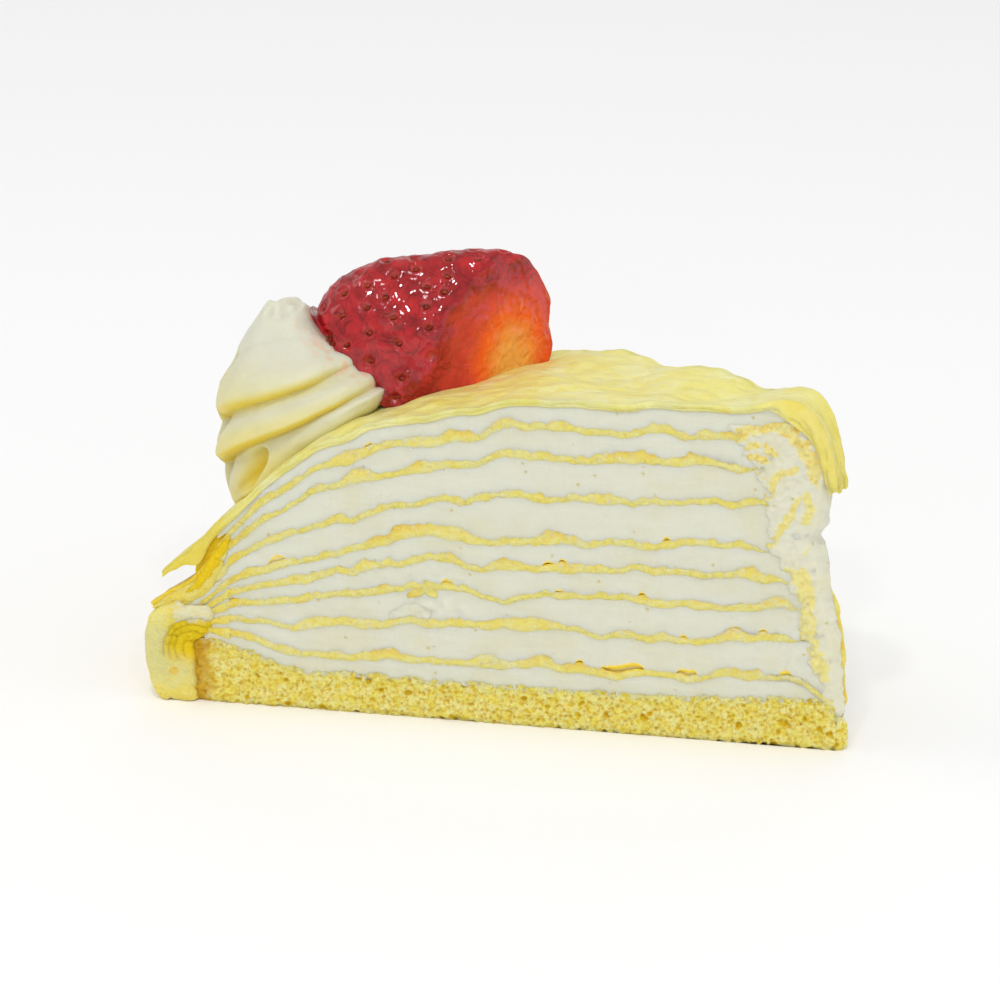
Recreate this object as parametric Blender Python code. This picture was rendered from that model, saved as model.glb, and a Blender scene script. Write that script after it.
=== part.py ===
"""One wedge of a crepe cake: a sponge base, eight crepes with nine layers of cream between them,
a top crepe draped over the dome, a piped cream swirl and a cut strawberry.

The cake's axis is upright at the narrow end, at +X. The wedge opens towards -X, and the two cuts
lie WEDGE_ANGLE apart, one towards -Y and one towards +Y. The sponge stands on z = 0. Lengths
below are in millimetres, and the meshes are written in metres.
"""

import math

import bmesh
import bpy
from mathutils import Matrix, Vector

MM = 0.001

# The whole slice
WEDGE_ANGLE = math.radians(36)
TIP_CUT = 5.0  # the crepes start this far from the cake's axis
RIM_RADIUS = 105.4  # the outermost pleat of the crepe edges
SPONGE_TIP_RADIUS = 1.5  # the sponge reaches nearer the axis than the crepes do
AXIS_X = (RIM_RADIUS + SPONGE_TIP_RADIUS * math.cos(WEDGE_ANGLE / 2)) / 2

# The dome that the cream is spread to, as a height over the distance s from the crepes' start
DOME_HEIGHT = 49.0
DOME_REACH = 96.5
DOME_POWER = 4
LAYER_START = 0.4
HIGH_START, HIGH_FROM = 3.4, 0.72  # the upper layers start further in, under the drape

# Layers, from the sponge up: each crepe's middle as a share of the way from sponge to dome
CREPE_SHARES = (0.074, 0.21, 0.335, 0.44, 0.54, 0.69, 0.83, 0.93)
CREPE_THICKNESS = 1.0
CREPE_EDGE_THICKNESS = 0.42
GAP = 0.3
CREAM_END = 88.0  # s where the cream runs out and the crepe edges bunch together
WAVE_HEIGHT = 0.45
WAVE_LENGTH = 38.0
HUMP_HEIGHT = 1.6
HUMP_AT, HUMP_WIDTH = 58.0, 6.0
HUMP_SHARE, HUMP_SPREAD = 0.33, 0.16  # the hump is at this share of the height, and fades over this

# Sponge
SPONGE_HEIGHT = 6.3
SPONGE_TIP_RISE = 1.3
SPONGE_RIM_RISE = 3.8
SPONGE_TIP_DROP = 2.6
SPONGE_END = 94.0

# Where the crepe edges turn down outside the sponge: (s, z) along the inner and outer bounds
WRAP_FROM = 0.8  # share of a crepe's run at which it starts to turn down
WRAP_INNER = ((91.6, 10.9), (94.3, 10.4), (94.9, 6.5), (94.9, 1.6))
WRAP_OUTER = ((93.2, 18.0), (98.9, 14.2), (101.2, 8.6), (98.9, 0.7))
WRAPPED_CREPES = 7
FEWEST_WRAP_ROWS, MOST_WRAP_ROWS = 4, 6  # the lowest crepe is the shortest

# The two upper crepe edges that flare out over the rim, as (s, z) of their middles
LOWER_FLARE = ((88.0, 26.1), (90.4, 23.2), (92.6, 20.8), (95.2, 18.8), (97.6, 17.3), (100.2, 15.6))
UPPER_FLARE = ((86.5, 30.3), (89.2, 28.2), (91.8, 25.4), (94.6, 22.9), (97.4, 20.7))
TIP_DRAPE = ((-1.1, 40.4), (-0.4, 43.4), (0.7, 46.6), (2.3, 49.6), (5.4, 51.4), (10.0, 50.7))
TOP_THICKNESS = 1.1
TOP_EDGE_THICKNESS = 0.6
TOP_STEP = 5.0

# Lumps of the top crepe, stronger towards the far cut
LUMP_HEIGHT = 0.55
LUMP_LENGTH = 21.0
LUMP_FROM, LUMP_TO = 12.0, 62.0

# Piped swirl
SWIRL_RADIUS = 86.0  # from the cake's axis
SWIRL_TURN = math.radians(-7)
SWIRL_FOOT = 11.6
SWIRL_TOP = 58.6
SWIRL_LEAN = 4.5  # how far its top leans outward
SWIRL_COILS = 3.0
SWIRL_BULGE = 0.16  # share by which its body swells above the foot
SWIRL_FOOT_SHARE = 0.22  # share of the form's height rows that lie under the foot
COIL_DEPTH = 1.7
PRESS_GAP = 0.45  # between the top crepe and what stands on it
BERRY_CLEARANCE = 1.0  # of the swirl's points, whose flat faces come nearer

# Cut strawberry
BERRY_RADIUS = 67.0
BERRY_TURN = math.radians(-1.7)
BERRY_HEIGHT = 49.9
BERRY_HALF_LENGTH = 18.9
BERRY_HALF_DEPTH = 8.0
BERRY_UP, BERRY_DOWN = 15.9, 9.3
BERRY_YAW = math.radians(29.7)
BERRY_ROLL = math.radians(6.3)
BERRY_BLUNTNESS = 3.1  # of its ends
BERRY_BOXINESS = 4.0  # of the underside
UNDERCUT_FROM, UNDERCUT_SLOPE = -6.3, 1.5  # its lower outer end is trimmed to a rising plane
CUT_YAW = math.radians(40.5)
CUT_PITCH = math.radians(-8)
CUT_OFFSET = 5.1
CUT_RIM = 0.6  # width of the skin that shows around the cut face

# Grid of each layer, and of the top crepe
ALONG, ACROSS = 12, 6
TOP_ALONG = 28


def smooth(value, low, high):
    share = min(1.0, max(0.0, (value - low) / (high - low)))
    return share * share * (3 - 2 * share)


def mix(a, b, share):
    return a + (b - a) * share


def curve_through(points, share):
    """Point at a share of the way along a smooth curve through evenly spaced points."""
    last = len(points) - 1
    i = max(0, min(int(share * last), last - 1))
    u = share * last - i
    p0, p1, p2, p3 = (Vector(points[min(max(i + n, 0), last)]) for n in (-1, 0, 1, 2))
    return 0.5 * (
        2 * p1 + (p2 - p0) * u + (2 * p0 - 5 * p1 + 4 * p2 - p3) * u**2 + (3 * p1 - p0 - 3 * p2 + p3) * u**3
    )


def dome(s):
    return DOME_HEIGHT * math.sqrt(max(0.0, 1 - (max(s, 0.0) / DOME_REACH) ** DOME_POWER))


def sponge_top(s):
    return SPONGE_HEIGHT + SPONGE_TIP_RISE * (1 - smooth(s, 4, 26)) + SPONGE_RIM_RISE * smooth(s, 76, 91)


def lump(s, phi):
    """Extra height of the top crepe and the cream under it."""
    inward = smooth(phi, -WEDGE_ANGLE / 2, WEDGE_ANGLE * 0.3)
    window = smooth(s, LUMP_FROM - 9, LUMP_FROM + 5) * (1 - smooth(s, LUMP_TO - 6, LUMP_TO + 10))
    return LUMP_HEIGHT * inward * window * (math.sin(2 * math.pi * s / LUMP_LENGTH + 2 * phi))


def crepe_run(number, t, phi):
    """Middle of a crepe in the (s, z) plane, with the direction across it.

    Number 0 is the sponge's upper side, 1 to 8 the crepes and 9 the underside of the top crepe.
    """
    if number == 0:
        share = 0.0
    elif number > len(CREPE_SHARES):
        share = 1.0
    else:
        share = CREPE_SHARES[number - 1]
    if t <= WRAP_FROM:
        start = LAYER_START + HIGH_START * smooth(share, HIGH_FROM, 1.0)
        s = mix(start, CREAM_END, t / WRAP_FROM)
        low, high = sponge_top(s), dome(s)
        wave = WAVE_HEIGHT * math.sin(2 * math.pi * s / WAVE_LENGTH + 9 * share + 1.5 * phi)
        wave *= math.sin(math.pi * share) * (1 - smooth(s, 70, 86))
        from_hump = math.hypot((s - HUMP_AT) / HUMP_WIDTH, (share - HUMP_SHARE) / HUMP_SPREAD)
        hump = HUMP_HEIGHT * math.exp(-(from_hump**2))
        top = lump(s, phi) * smooth(share, 0.5, 1.0)
        return Vector((s, mix(low, high, share) + wave + hump + top)), Vector((0.0, 1.0))
    u = (t - WRAP_FROM) / (1 - WRAP_FROM)
    if number == len(CREPE_SHARES):
        here, ahead = (curve_through(LOWER_FLARE, min(u + step, 1.0)) for step in (-0.02, 0.02))
        run = (ahead - here).normalized()
        across = mix(Vector((0.0, 1.0)), Vector((-run.y, run.x)), smooth(u, 0.0, 0.3)).normalized()
        ruffle = Vector((0.9, 0.5)) * smooth(u, 0.3, 1.0) * (math.sin(9 * phi + 1.2) - 1)
        return curve_through(LOWER_FLARE, u) + ruffle * (1 - smooth(-phi, 0.2, WEDGE_ANGLE / 2)), across
    even = (number - 0.5) / WRAPPED_CREPES
    share = mix(share, even, smooth(u, 0.0, 0.3))
    low = curve_through(((CREAM_END, sponge_top(CREAM_END)), *WRAP_INNER), u)
    high = curve_through(((CREAM_END, dome(CREAM_END)), *WRAP_OUTER), u)
    return low.lerp(high, share), (high - low).normalized()


def half_thickness(t):
    return mix(CREPE_THICKNESS, CREPE_EDGE_THICKNESS, smooth(t, 0.55, 0.8)) / 2


def top_run(u, phi):
    """Middle of the top crepe at a share of its run from the tip to the flared edge, and its normal."""
    first, last = TIP_DRAPE[-1][0], UPPER_FLARE[0][0]
    spots = [first + TOP_STEP * n for n in range(1, int((last - first) / TOP_STEP))]
    points = [*TIP_DRAPE, *((s, dome(s) + GAP + TOP_THICKNESS / 2) for s in spots), *UPPER_FLARE]
    here = curve_through(points, max(u - 0.004, 0.0))
    ahead = curve_through(points, min(u + 0.004, 1.0))
    run = (ahead - here).normalized()
    middle = curve_through(points, u)
    middle.y += lump(middle.x, phi)
    flare = smooth(middle.x, 91, 98) * (1 - smooth(-phi, 0.15, WEDGE_ANGLE / 2))
    middle += Vector((-0.8, 0.9)) * flare * math.sin(8 * phi)
    return middle, Vector((-run.y, run.x))


def top_surface(x, y):
    """Height of the top crepe's upper side over a point, in millimetres."""
    radius = math.hypot(AXIS_X - x, y)
    phi = math.atan2(y, AXIS_X - x)
    s = radius - TIP_CUT
    low, high = 0.0, 1.0
    for _ in range(24):
        u = (low + high) / 2
        if top_run(u, phi)[0].x < s:
            low = u
        else:
            high = u
    middle, normal = top_run(high, phi)
    return middle.y + TOP_THICKNESS / 2 / max(normal.y, 0.35)


def at(s, z, phi):
    radius = s + TIP_CUT
    return Vector((AXIS_X - radius * math.cos(phi), radius * math.sin(phi), z))


def material(name, colour, roughness):
    shade = bpy.data.materials.new(name)
    shade.use_nodes = True
    shader = shade.node_tree.nodes["Principled BSDF"]
    shader.inputs["Base Color"].default_value = (*colour, 1)
    shader.inputs["Roughness"].default_value = roughness
    shader.inputs["Metallic"].default_value = 0
    return shade


def add_object(name, bm, shade, crease=math.radians(40)):
    """Makes an object of a bmesh whose points are in millimetres."""
    bmesh.ops.recalc_face_normals(bm, faces=bm.faces)
    if bm.calc_volume(signed=True) < 0:
        bmesh.ops.reverse_faces(bm, faces=bm.faces)
    bmesh.ops.transform(bm, matrix=Matrix.Scale(MM, 4), verts=bm.verts)
    mesh = bpy.data.meshes.new(name)
    bm.to_mesh(mesh)
    bm.free()
    mesh.materials.append(shade)
    mesh.shade_smooth()
    mesh.set_sharp_from_angle(angle=crease)
    obj = bpy.data.objects.new(name, mesh)
    slice_parts.objects.link(obj)
    return obj


def bent_block(along, across, place):
    """A box cut into a grid, its points moved by place(u, v, w), each from 0 to 1."""
    bm = bmesh.new()
    bmesh.ops.create_grid(bm, x_segments=along, y_segments=across, size=0.5)
    bmesh.ops.solidify(bm, geom=bm.faces[:], thickness=1.0)
    low = min(v.co.z for v in bm.verts)
    for vert in bm.verts:
        vert.co = place(vert.co.x + 0.5, vert.co.y + 0.5, round(vert.co.z - low))
    return bm


def wedge_angle_at(v):
    return mix(-WEDGE_ANGLE / 2, WEDGE_ANGLE / 2, v)


def add_sponge(shade):
    start = SPONGE_TIP_RADIUS - TIP_CUT

    def place(u, v, w):
        s = mix(start, SPONGE_END, u)
        tip = smooth(-s, 0.0, -start)
        return at(s, w * (sponge_top(s) - SPONGE_TIP_DROP * tip), wedge_angle_at(v))

    add_object("sponge_base", bent_block(ALONG + 2, ACROSS, place), shade)


def add_cream(number, shade):
    def place(u, v, w):
        t = WRAP_FROM * round(u * ALONG) / ALONG
        phi = wedge_angle_at(v)
        middle, across = crepe_run(number - 1 + w, t, phi)
        if w and number <= len(CREPE_SHARES):
            shift = -half_thickness(t) - GAP
        elif w:
            shift = -GAP
        elif number == 1:
            shift = GAP
        else:
            shift = half_thickness(t) + GAP
        middle += across * shift
        return at(middle.x, middle.y, phi)

    add_object(f"cream_{number}", bent_block(ALONG, ACROSS, place), shade)


def add_crepe(number, shade):
    order = min(1.0, (number - 1) / (WRAPPED_CREPES - 1))
    turned = round(mix(FEWEST_WRAP_ROWS, MOST_WRAP_ROWS, order))

    def place(u, v, w):
        # The rows on the flat run match the cream's, and the others lie on the turn at the rim
        row = round(u * (ALONG + turned))
        t = WRAP_FROM * row / ALONG if row <= ALONG else mix(WRAP_FROM, 1.0, (row - ALONG) / MOST_WRAP_ROWS)
        phi = wedge_angle_at(v)
        middle, across = crepe_run(number, t, phi)
        middle += across * (w * 2 - 1) * half_thickness(t)
        return at(middle.x, middle.y, phi)

    add_object(f"crepe_{number}", bent_block(ALONG + turned, ACROSS, place), shade)


def add_top_crepe(shade):
    def place(u, v, w):
        phi = wedge_angle_at(v)
        middle, normal = top_run(u, phi)
        edge = smooth(middle.x, 85, 96)
        middle += normal * (w - 0.5) * mix(TOP_THICKNESS, TOP_EDGE_THICKNESS, edge)
        return at(middle.x, middle.y, phi)

    add_object("crepe_top", bent_block(TOP_ALONG, ACROSS, place), shade)


def berry_axes():
    turn = Matrix.Rotation(BERRY_YAW, 3, "Z") @ Matrix.Rotation(-BERRY_ROLL, 3, "Y")
    return turn, at(BERRY_RADIUS - TIP_CUT, BERRY_HEIGHT, BERRY_TURN)


def berry_underside(along):
    return -BERRY_DOWN + UNDERCUT_SLOPE * max(UNDERCUT_FROM - along, 0.0)


def berry_form(point):
    """Moves a point of the unit sphere, its poles on X, onto the fruit's skin."""
    size = math.hypot(point.y, point.z)
    if size < 1e-6:
        return Vector((point.x * BERRY_HALF_LENGTH, 0.0, 0.0))
    y, z = point.y / size, point.z / size
    girth = (1 - min(1.0, abs(point.x)) ** BERRY_BLUNTNESS) ** (1 / BERRY_BLUNTNESS)
    if z < 0:
        girth /= (abs(y) ** BERRY_BOXINESS + abs(z) ** BERRY_BOXINESS) ** (1 / BERRY_BOXINESS)
    along = point.x * BERRY_HALF_LENGTH
    height = max(z * girth * (BERRY_UP if z > 0 else BERRY_DOWN), berry_underside(along))
    return Vector((along, y * girth * BERRY_HALF_DEPTH, height))


def cut_normal():
    level = math.cos(CUT_PITCH)
    return Vector((math.sin(CUT_YAW) * level, -math.cos(CUT_YAW) * level, math.sin(CUT_PITCH)))


def add_berry(shade):
    turn, centre = berry_axes()
    bm = bmesh.new()
    bmesh.ops.create_uvsphere(bm, u_segments=20, v_segments=14, radius=1.0)
    bmesh.ops.rotate(bm, verts=bm.verts, matrix=Matrix.Rotation(math.pi / 2, 3, "Y"))
    for vert in bm.verts:
        vert.co = berry_form(vert.co)
    cut = bmesh.ops.bisect_plane(
        bm,
        geom=bm.verts[:] + bm.edges[:] + bm.faces[:],
        dist=1e-4,
        plane_co=cut_normal() * CUT_OFFSET,
        plane_no=cut_normal(),
        clear_outer=True,
    )
    rim = [edge for edge in cut["geom_cut"] if isinstance(edge, bmesh.types.BMEdge)]
    face = bmesh.ops.contextual_create(bm, geom=rim)["faces"]
    bmesh.ops.inset_region(bm, faces=face, thickness=CUT_RIM, depth=0.0)
    for vert in bm.verts:
        vert.co = turn @ vert.co + centre
        vert.co.z = max(vert.co.z, top_surface(vert.co.x, vert.co.y) + PRESS_GAP)
    bmesh.ops.triangulate(bm, faces=bm.faces[:])
    return add_object("strawberry", bm, shade)


def inside_berry(point, grown):
    """Whether a point is inside the fruit grown by some millimetres."""
    turn, centre = berry_axes()
    local = turn.transposed() @ (point - centre)
    if local.z < berry_underside(local.x) - grown * 1.6:
        return False
    x = abs(local.x) / (BERRY_HALF_LENGTH + grown)
    y = abs(local.y) / (BERRY_HALF_DEPTH + grown)
    if local.z > 0:
        girth = math.hypot(y, local.z / (BERRY_UP + grown))
    else:
        z = -local.z / (BERRY_DOWN + grown)
        girth = (y**BERRY_BOXINESS + z**BERRY_BOXINESS) ** (1 / BERRY_BOXINESS)
    return x**BERRY_BLUNTNESS + girth**BERRY_BLUNTNESS < 1


def swirl_form(point):
    """Moves a point of the unit sphere onto the piped coil, which leans out and stands on the slope."""
    around = math.atan2(point.y, point.x)
    up = math.acos(max(-1.0, min(1.0, -point.z))) / math.pi
    foot = at(SWIRL_RADIUS - TIP_CUT, 0.0, SWIRL_TURN)
    out = Vector((math.cos(around), math.sin(around), 0.0))
    if up < SWIRL_FOOT_SHARE:
        spot = foot + out * SWIRL_FOOT * up / SWIRL_FOOT_SHARE
        return Vector((spot.x, spot.y, top_surface(spot.x, spot.y) + PRESS_GAP))
    rise = (up - SWIRL_FOOT_SHARE) / (1 - SWIRL_FOOT_SHARE)
    rim = foot + out * SWIRL_FOOT
    low = top_surface(rim.x, rim.y) + PRESS_GAP
    bulge = 1 + SWIRL_BULGE * math.sin(math.pi * min(1, rise * 1.5))
    body = SWIRL_FOOT * (1 - rise**3.6) ** 0.6 * bulge
    coil = abs(math.sin(math.pi * SWIRL_COILS * rise - around / 2))
    body += COIL_DEPTH * (coil - 0.7) * smooth(rise, 0.0, 0.12) * (1 - smooth(rise, 0.85, 1.0))
    lean = Vector((-SWIRL_LEAN, -0.3 * SWIRL_LEAN, 0.0)) * rise
    radius = max(body, 0.0)
    for _ in range(60):
        spot = foot + lean + out * radius
        spot.z = mix(low, SWIRL_TOP, rise**1.15)
        if radius < 0.1 or not inside_berry(spot, BERRY_CLEARANCE):
            break
        radius -= 0.2
    spot.z = max(spot.z, top_surface(spot.x, spot.y) + PRESS_GAP)
    return spot


def add_swirl(shade):
    bm = bmesh.new()
    bmesh.ops.create_uvsphere(bm, u_segments=26, v_segments=21, radius=1.0)
    for vert in bm.verts:
        vert.co = swirl_form(vert.co)
    bmesh.ops.triangulate(bm, faces=bm.faces[:])
    return add_object("cream_swirl", bm, shade)


for old in list(bpy.data.objects):
    bpy.data.objects.remove(old)

slice_parts = bpy.data.collections.new("crepe_cake_slice")
bpy.context.scene.collection.children.link(slice_parts)

sponge_shade = material("sponge", (0.58, 0.50, 0.12), 0.9)
cream_shade = material("cream", (0.72, 0.71, 0.58), 0.55)
crepe_shade = material("crepe", (0.66, 0.58, 0.21), 0.6)
top_shade = material("top_crepe", (0.81, 0.75, 0.28), 0.5)
swirl_shade = material("whipped_cream", (0.74, 0.71, 0.52), 0.5)
berry_shade = material("strawberry", (0.42, 0.02, 0.03), 0.2)

add_sponge(sponge_shade)
for layer in range(1, len(CREPE_SHARES) + 2):
    add_cream(layer, cream_shade)
for layer in range(1, len(CREPE_SHARES) + 1):
    add_crepe(layer, crepe_shade)
add_top_crepe(top_shade)
add_swirl(swirl_shade)
add_berry(berry_shade)
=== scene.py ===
import bisect
import math
import random

import bmesh
import bpy
from mathutils import Matrix, Vector, noise
from mathutils.kdtree import KDTree


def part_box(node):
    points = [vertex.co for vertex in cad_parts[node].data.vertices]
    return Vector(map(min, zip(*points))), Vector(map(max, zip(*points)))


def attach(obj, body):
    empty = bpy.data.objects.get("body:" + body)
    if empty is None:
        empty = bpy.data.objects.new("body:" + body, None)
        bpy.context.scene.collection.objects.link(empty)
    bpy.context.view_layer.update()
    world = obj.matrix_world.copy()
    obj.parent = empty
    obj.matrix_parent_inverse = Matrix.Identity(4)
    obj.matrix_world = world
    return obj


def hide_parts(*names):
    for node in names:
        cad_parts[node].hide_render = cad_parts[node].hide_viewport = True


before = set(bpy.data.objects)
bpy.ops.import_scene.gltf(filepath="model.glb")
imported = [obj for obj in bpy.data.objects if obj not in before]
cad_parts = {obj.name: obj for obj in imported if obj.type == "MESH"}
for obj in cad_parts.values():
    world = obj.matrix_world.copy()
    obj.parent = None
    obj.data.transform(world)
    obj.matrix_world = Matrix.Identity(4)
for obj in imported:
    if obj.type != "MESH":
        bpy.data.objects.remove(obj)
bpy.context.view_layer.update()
mm = 0.001

# The whole slice, in mm. s is the distance from the crepes' start at the tip, phi the angle
# round the cake's axis, and z the height.
cake = {
    "halfAngle": math.radians(18),
    "tipCut": 5.0,
    "domeHeight": 49.0,
    "domeReach": 96.5,
    "spongeHeight": 6.3,
    "creamEnd": 88.0,
    "shares": (0.074, 0.21, 0.335, 0.44, 0.54, 0.69, 0.83, 0.93),
}
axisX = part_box("sponge_base")[1].x / mm + 1.5 * math.cos(cake["halfAngle"])


def smooth(value, low, high):
    share = min(1.0, max(0.0, (value - low) / (high - low)))
    return share * share * (3 - 2 * share)


def mix(a, b, share):
    return a + (b - a) * share


def curveThrough(points, share):
    last = len(points) - 1
    i = max(0, min(int(share * last), last - 1))
    u = share * last - i
    p0, p1, p2, p3 = (Vector(points[min(max(i + n, 0), last)]) for n in (-1, 0, 1, 2))
    rise = (p2 - p0) * u + (2 * p0 - 5 * p1 + 4 * p2 - p3) * u**2 + (3 * p1 - p0 - 3 * p2 + p3) * u**3
    return p1 + 0.5 * rise


def along(points, value):
    # height of a polyline of (value, height) points
    for (x0, y0), (x1, y1) in zip(points, points[1:]):
        if value <= x1:
            return mix(y0, y1, smooth(value, x0, x1))
    return points[-1][1]


def between(points, value):
    # straight-line reading of a list of (value, height) points
    for (x0, y0), (x1, y1) in zip(points, points[1:]):
        if value <= x1:
            return mix(y0, y1, min(1.0, max(0.0, (value - x0) / (x1 - x0))))
    return points[-1][1]


def ripple(x, y=0.0, z=0.0, seed=0.0):
    return noise.noise(Vector((x + seed, y + seed * 1.7, z - seed)))


def at(s, z, phi, out=0.0):
    # out moves the point square to the cut, towards +phi
    radius = s + cake["tipCut"]
    x = axisX - radius * math.cos(phi) + out * math.sin(phi)
    y = radius * math.sin(phi) + out * math.cos(phi)
    return Vector((x, y, z))


def dome(s):
    return cake["domeHeight"] * math.sqrt(max(0.0, 1 - (max(s, 0.0) / cake["domeReach"]) ** 4))


def spongeTop(s):
    return cake["spongeHeight"] + 1.3 * (1 - smooth(s, 4, 26)) + 3.8 * smooth(s, 76, 91)


def lump(s, phi):
    half = cake["halfAngle"]
    window = smooth(s, 3, 17) * (1 - smooth(s, 56, 72))
    return 0.55 * smooth(phi, -half, 0.6 * half) * window * math.sin(2 * math.pi * s / 21 + 2 * phi)


# ---------- meshes ----------


def block(alongCuts, acrossCuts, riseCuts, place, marks=("mark",)):
    # a box cut into a fine grid, its points moved by place(u, v, w), which also gives the marks
    bm = bmesh.new()
    layers = [bm.verts.layers.float.new(name) for name in marks]
    bmesh.ops.create_cube(bm, size=1.0)
    for axis, cuts in enumerate((alongCuts, acrossCuts, riseCuts)):
        edges = [e for e in bm.edges if abs((e.verts[0].co - e.verts[1].co)[axis]) > 1e-6]
        bmesh.ops.subdivide_edges(bm, edges=edges, cuts=cuts - 1, use_grid_fill=True)
    for vert in bm.verts:
        spot, *values = place(*(vert.co + Vector((0.5, 0.5, 0.5))))
        vert.co = spot
        for layer, value in zip(layers, values):
            vert[layer] = value
    return bm


def addPiece(name, bm, finish, node=None, crease=42, check=True):
    # a bmesh in mm becomes a piece of the slice
    if check:
        bmesh.ops.recalc_face_normals(bm, faces=bm.faces)
        if bm.calc_volume(signed=True) < 0:
            bmesh.ops.reverse_faces(bm, faces=bm.faces)
    bmesh.ops.transform(bm, matrix=Matrix.Scale(mm, 4), verts=bm.verts)
    mesh = bpy.data.meshes.new(name)
    bm.to_mesh(mesh)
    bm.free()
    mesh.materials.append(finish)
    mesh.shade_smooth()
    if crease:
        mesh.set_sharp_from_angle(angle=math.radians(crease))
    piece = bpy.data.objects.new(name, mesh)
    bpy.context.scene.collection.objects.link(piece)
    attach(piece, "root")
    if node:
        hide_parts(node)
    return piece


def cutPhi(v):
    # rows crowd together near both cuts, where they show
    side = 2 * v - 1
    depth = (1 - abs(side)) ** 2.2
    return cake["halfAngle"] * math.copysign(1 - depth, side)


def cutDepth(s, phi):
    return (s + cake["tipCut"]) * (cake["halfAngle"] - abs(phi))


# ---------- shader maths ----------


class Wire:
    # one socket, so that shader maths reads as Python
    def __init__(self, finish, socket):
        self.finish, self.socket = finish, socket

    def maths(self, operation, *values, clamp=False):
        settings = {"operation": operation, "use_clamp": clamp}
        return self.finish.node("ShaderNodeMath", settings, dict(enumerate(values)))

    def __add__(self, other):
        return self.maths("ADD", self, other)

    def __sub__(self, other):
        return self.maths("SUBTRACT", self, other)

    def __rsub__(self, other):
        return self.maths("SUBTRACT", other, self)

    def __mul__(self, other):
        return self.maths("MULTIPLY", self, other)

    def __truediv__(self, other):
        return self.maths("DIVIDE", self, other)

    def __pow__(self, other):
        return self.maths("POWER", self, other)

    __radd__, __rmul__ = __add__, __mul__

    def clamped(self):
        return self.maths("ADD", self, 0.0, clamp=True)

    def step(self, low, high):
        # 0 below low, 1 above high
        settings = {"interpolation_type": "SMOOTHSTEP"}
        return self.finish.node("ShaderNodeMapRange", settings, {0: self, 1: low, 2: high})


class Finish:
    # a Principled material with short ways to make its nodes
    def __init__(self, name, **fixed):
        self.material = bpy.data.materials.new(name)
        self.material.use_nodes = True
        self.tree = self.material.node_tree
        self.shader = self.tree.nodes["Principled BSDF"]
        for socket, value in fixed.items():
            self.shader.inputs[socket.replace("_", " ")].default_value = value

    def node(self, kind, settings, inputs, output=0):
        made = self.tree.nodes.new(kind)
        for setting, value in settings.items():
            if setting == "stops":
                self.setStops(made.color_ramp, value)
            else:
                setattr(made, setting, value)
        for socket, value in inputs.items():
            if isinstance(value, Wire):
                self.tree.links.new(value.socket, made.inputs[socket])
            else:
                made.inputs[socket].default_value = value
        return Wire(self, made.outputs[output])

    def setStops(self, ramp, stops):
        while len(ramp.elements) < len(stops):
            ramp.elements.new(0.5)
        for element, (spot, colour) in zip(ramp.elements, stops):
            element.position = spot
            element.color = (*colour, 1)

    def spot(self, scale=(1, 1, 1), turn=(0, 0, 0), shift=(0, 0, 0)):
        # object coordinates in mm
        place = self.node("ShaderNodeTexCoord", {}, {}, "Object")
        size = [part / mm for part in scale]
        return self.node("ShaderNodeMapping", {}, {0: place, "Location": shift, "Rotation": turn, "Scale": size})

    def mark(self, name="mark"):
        return self.node("ShaderNodeAttribute", {"attribute_name": name}, {}, "Fac")

    def cloud(self, spot, size, detail=2.0, rough=0.5, bend=0.0):
        inputs = {"Vector": spot, "Scale": 1 / size, "Detail": detail, "Roughness": rough, "Distortion": bend}
        return self.node("ShaderNodeTexNoise", {}, inputs)

    def cells(self, spot, size, feature="F1", output="Distance", spread=1.0):
        inputs = {"Vector": spot, "Scale": 1 / size, "Randomness": spread}
        return self.node("ShaderNodeTexVoronoi", {"feature": feature}, inputs, output)

    def ramp(self, value, *stops):
        return self.node("ShaderNodeValToRGB", {"stops": stops}, {0: value})

    def blend(self, factor, first, second):
        first, second = (c if isinstance(c, Wire) else (*c, 1) for c in (first, second))
        return self.node("ShaderNodeMix", {"data_type": "RGBA"}, {0: factor, 6: first, 7: second}, 2)

    def bump(self, height, depth, under=None):
        # depth is how far a height of 1 stands out, in mm
        inputs = {"Height": height, "Distance": depth * mm}
        if under:
            inputs["Normal"] = under
        return self.node("ShaderNodeBump", {}, inputs)

    def use(self, **wires):
        for socket, wire in wires.items():
            self.tree.links.new(wire.socket, self.shader.inputs[socket.replace("_", " ")])
        return self.material


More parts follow.
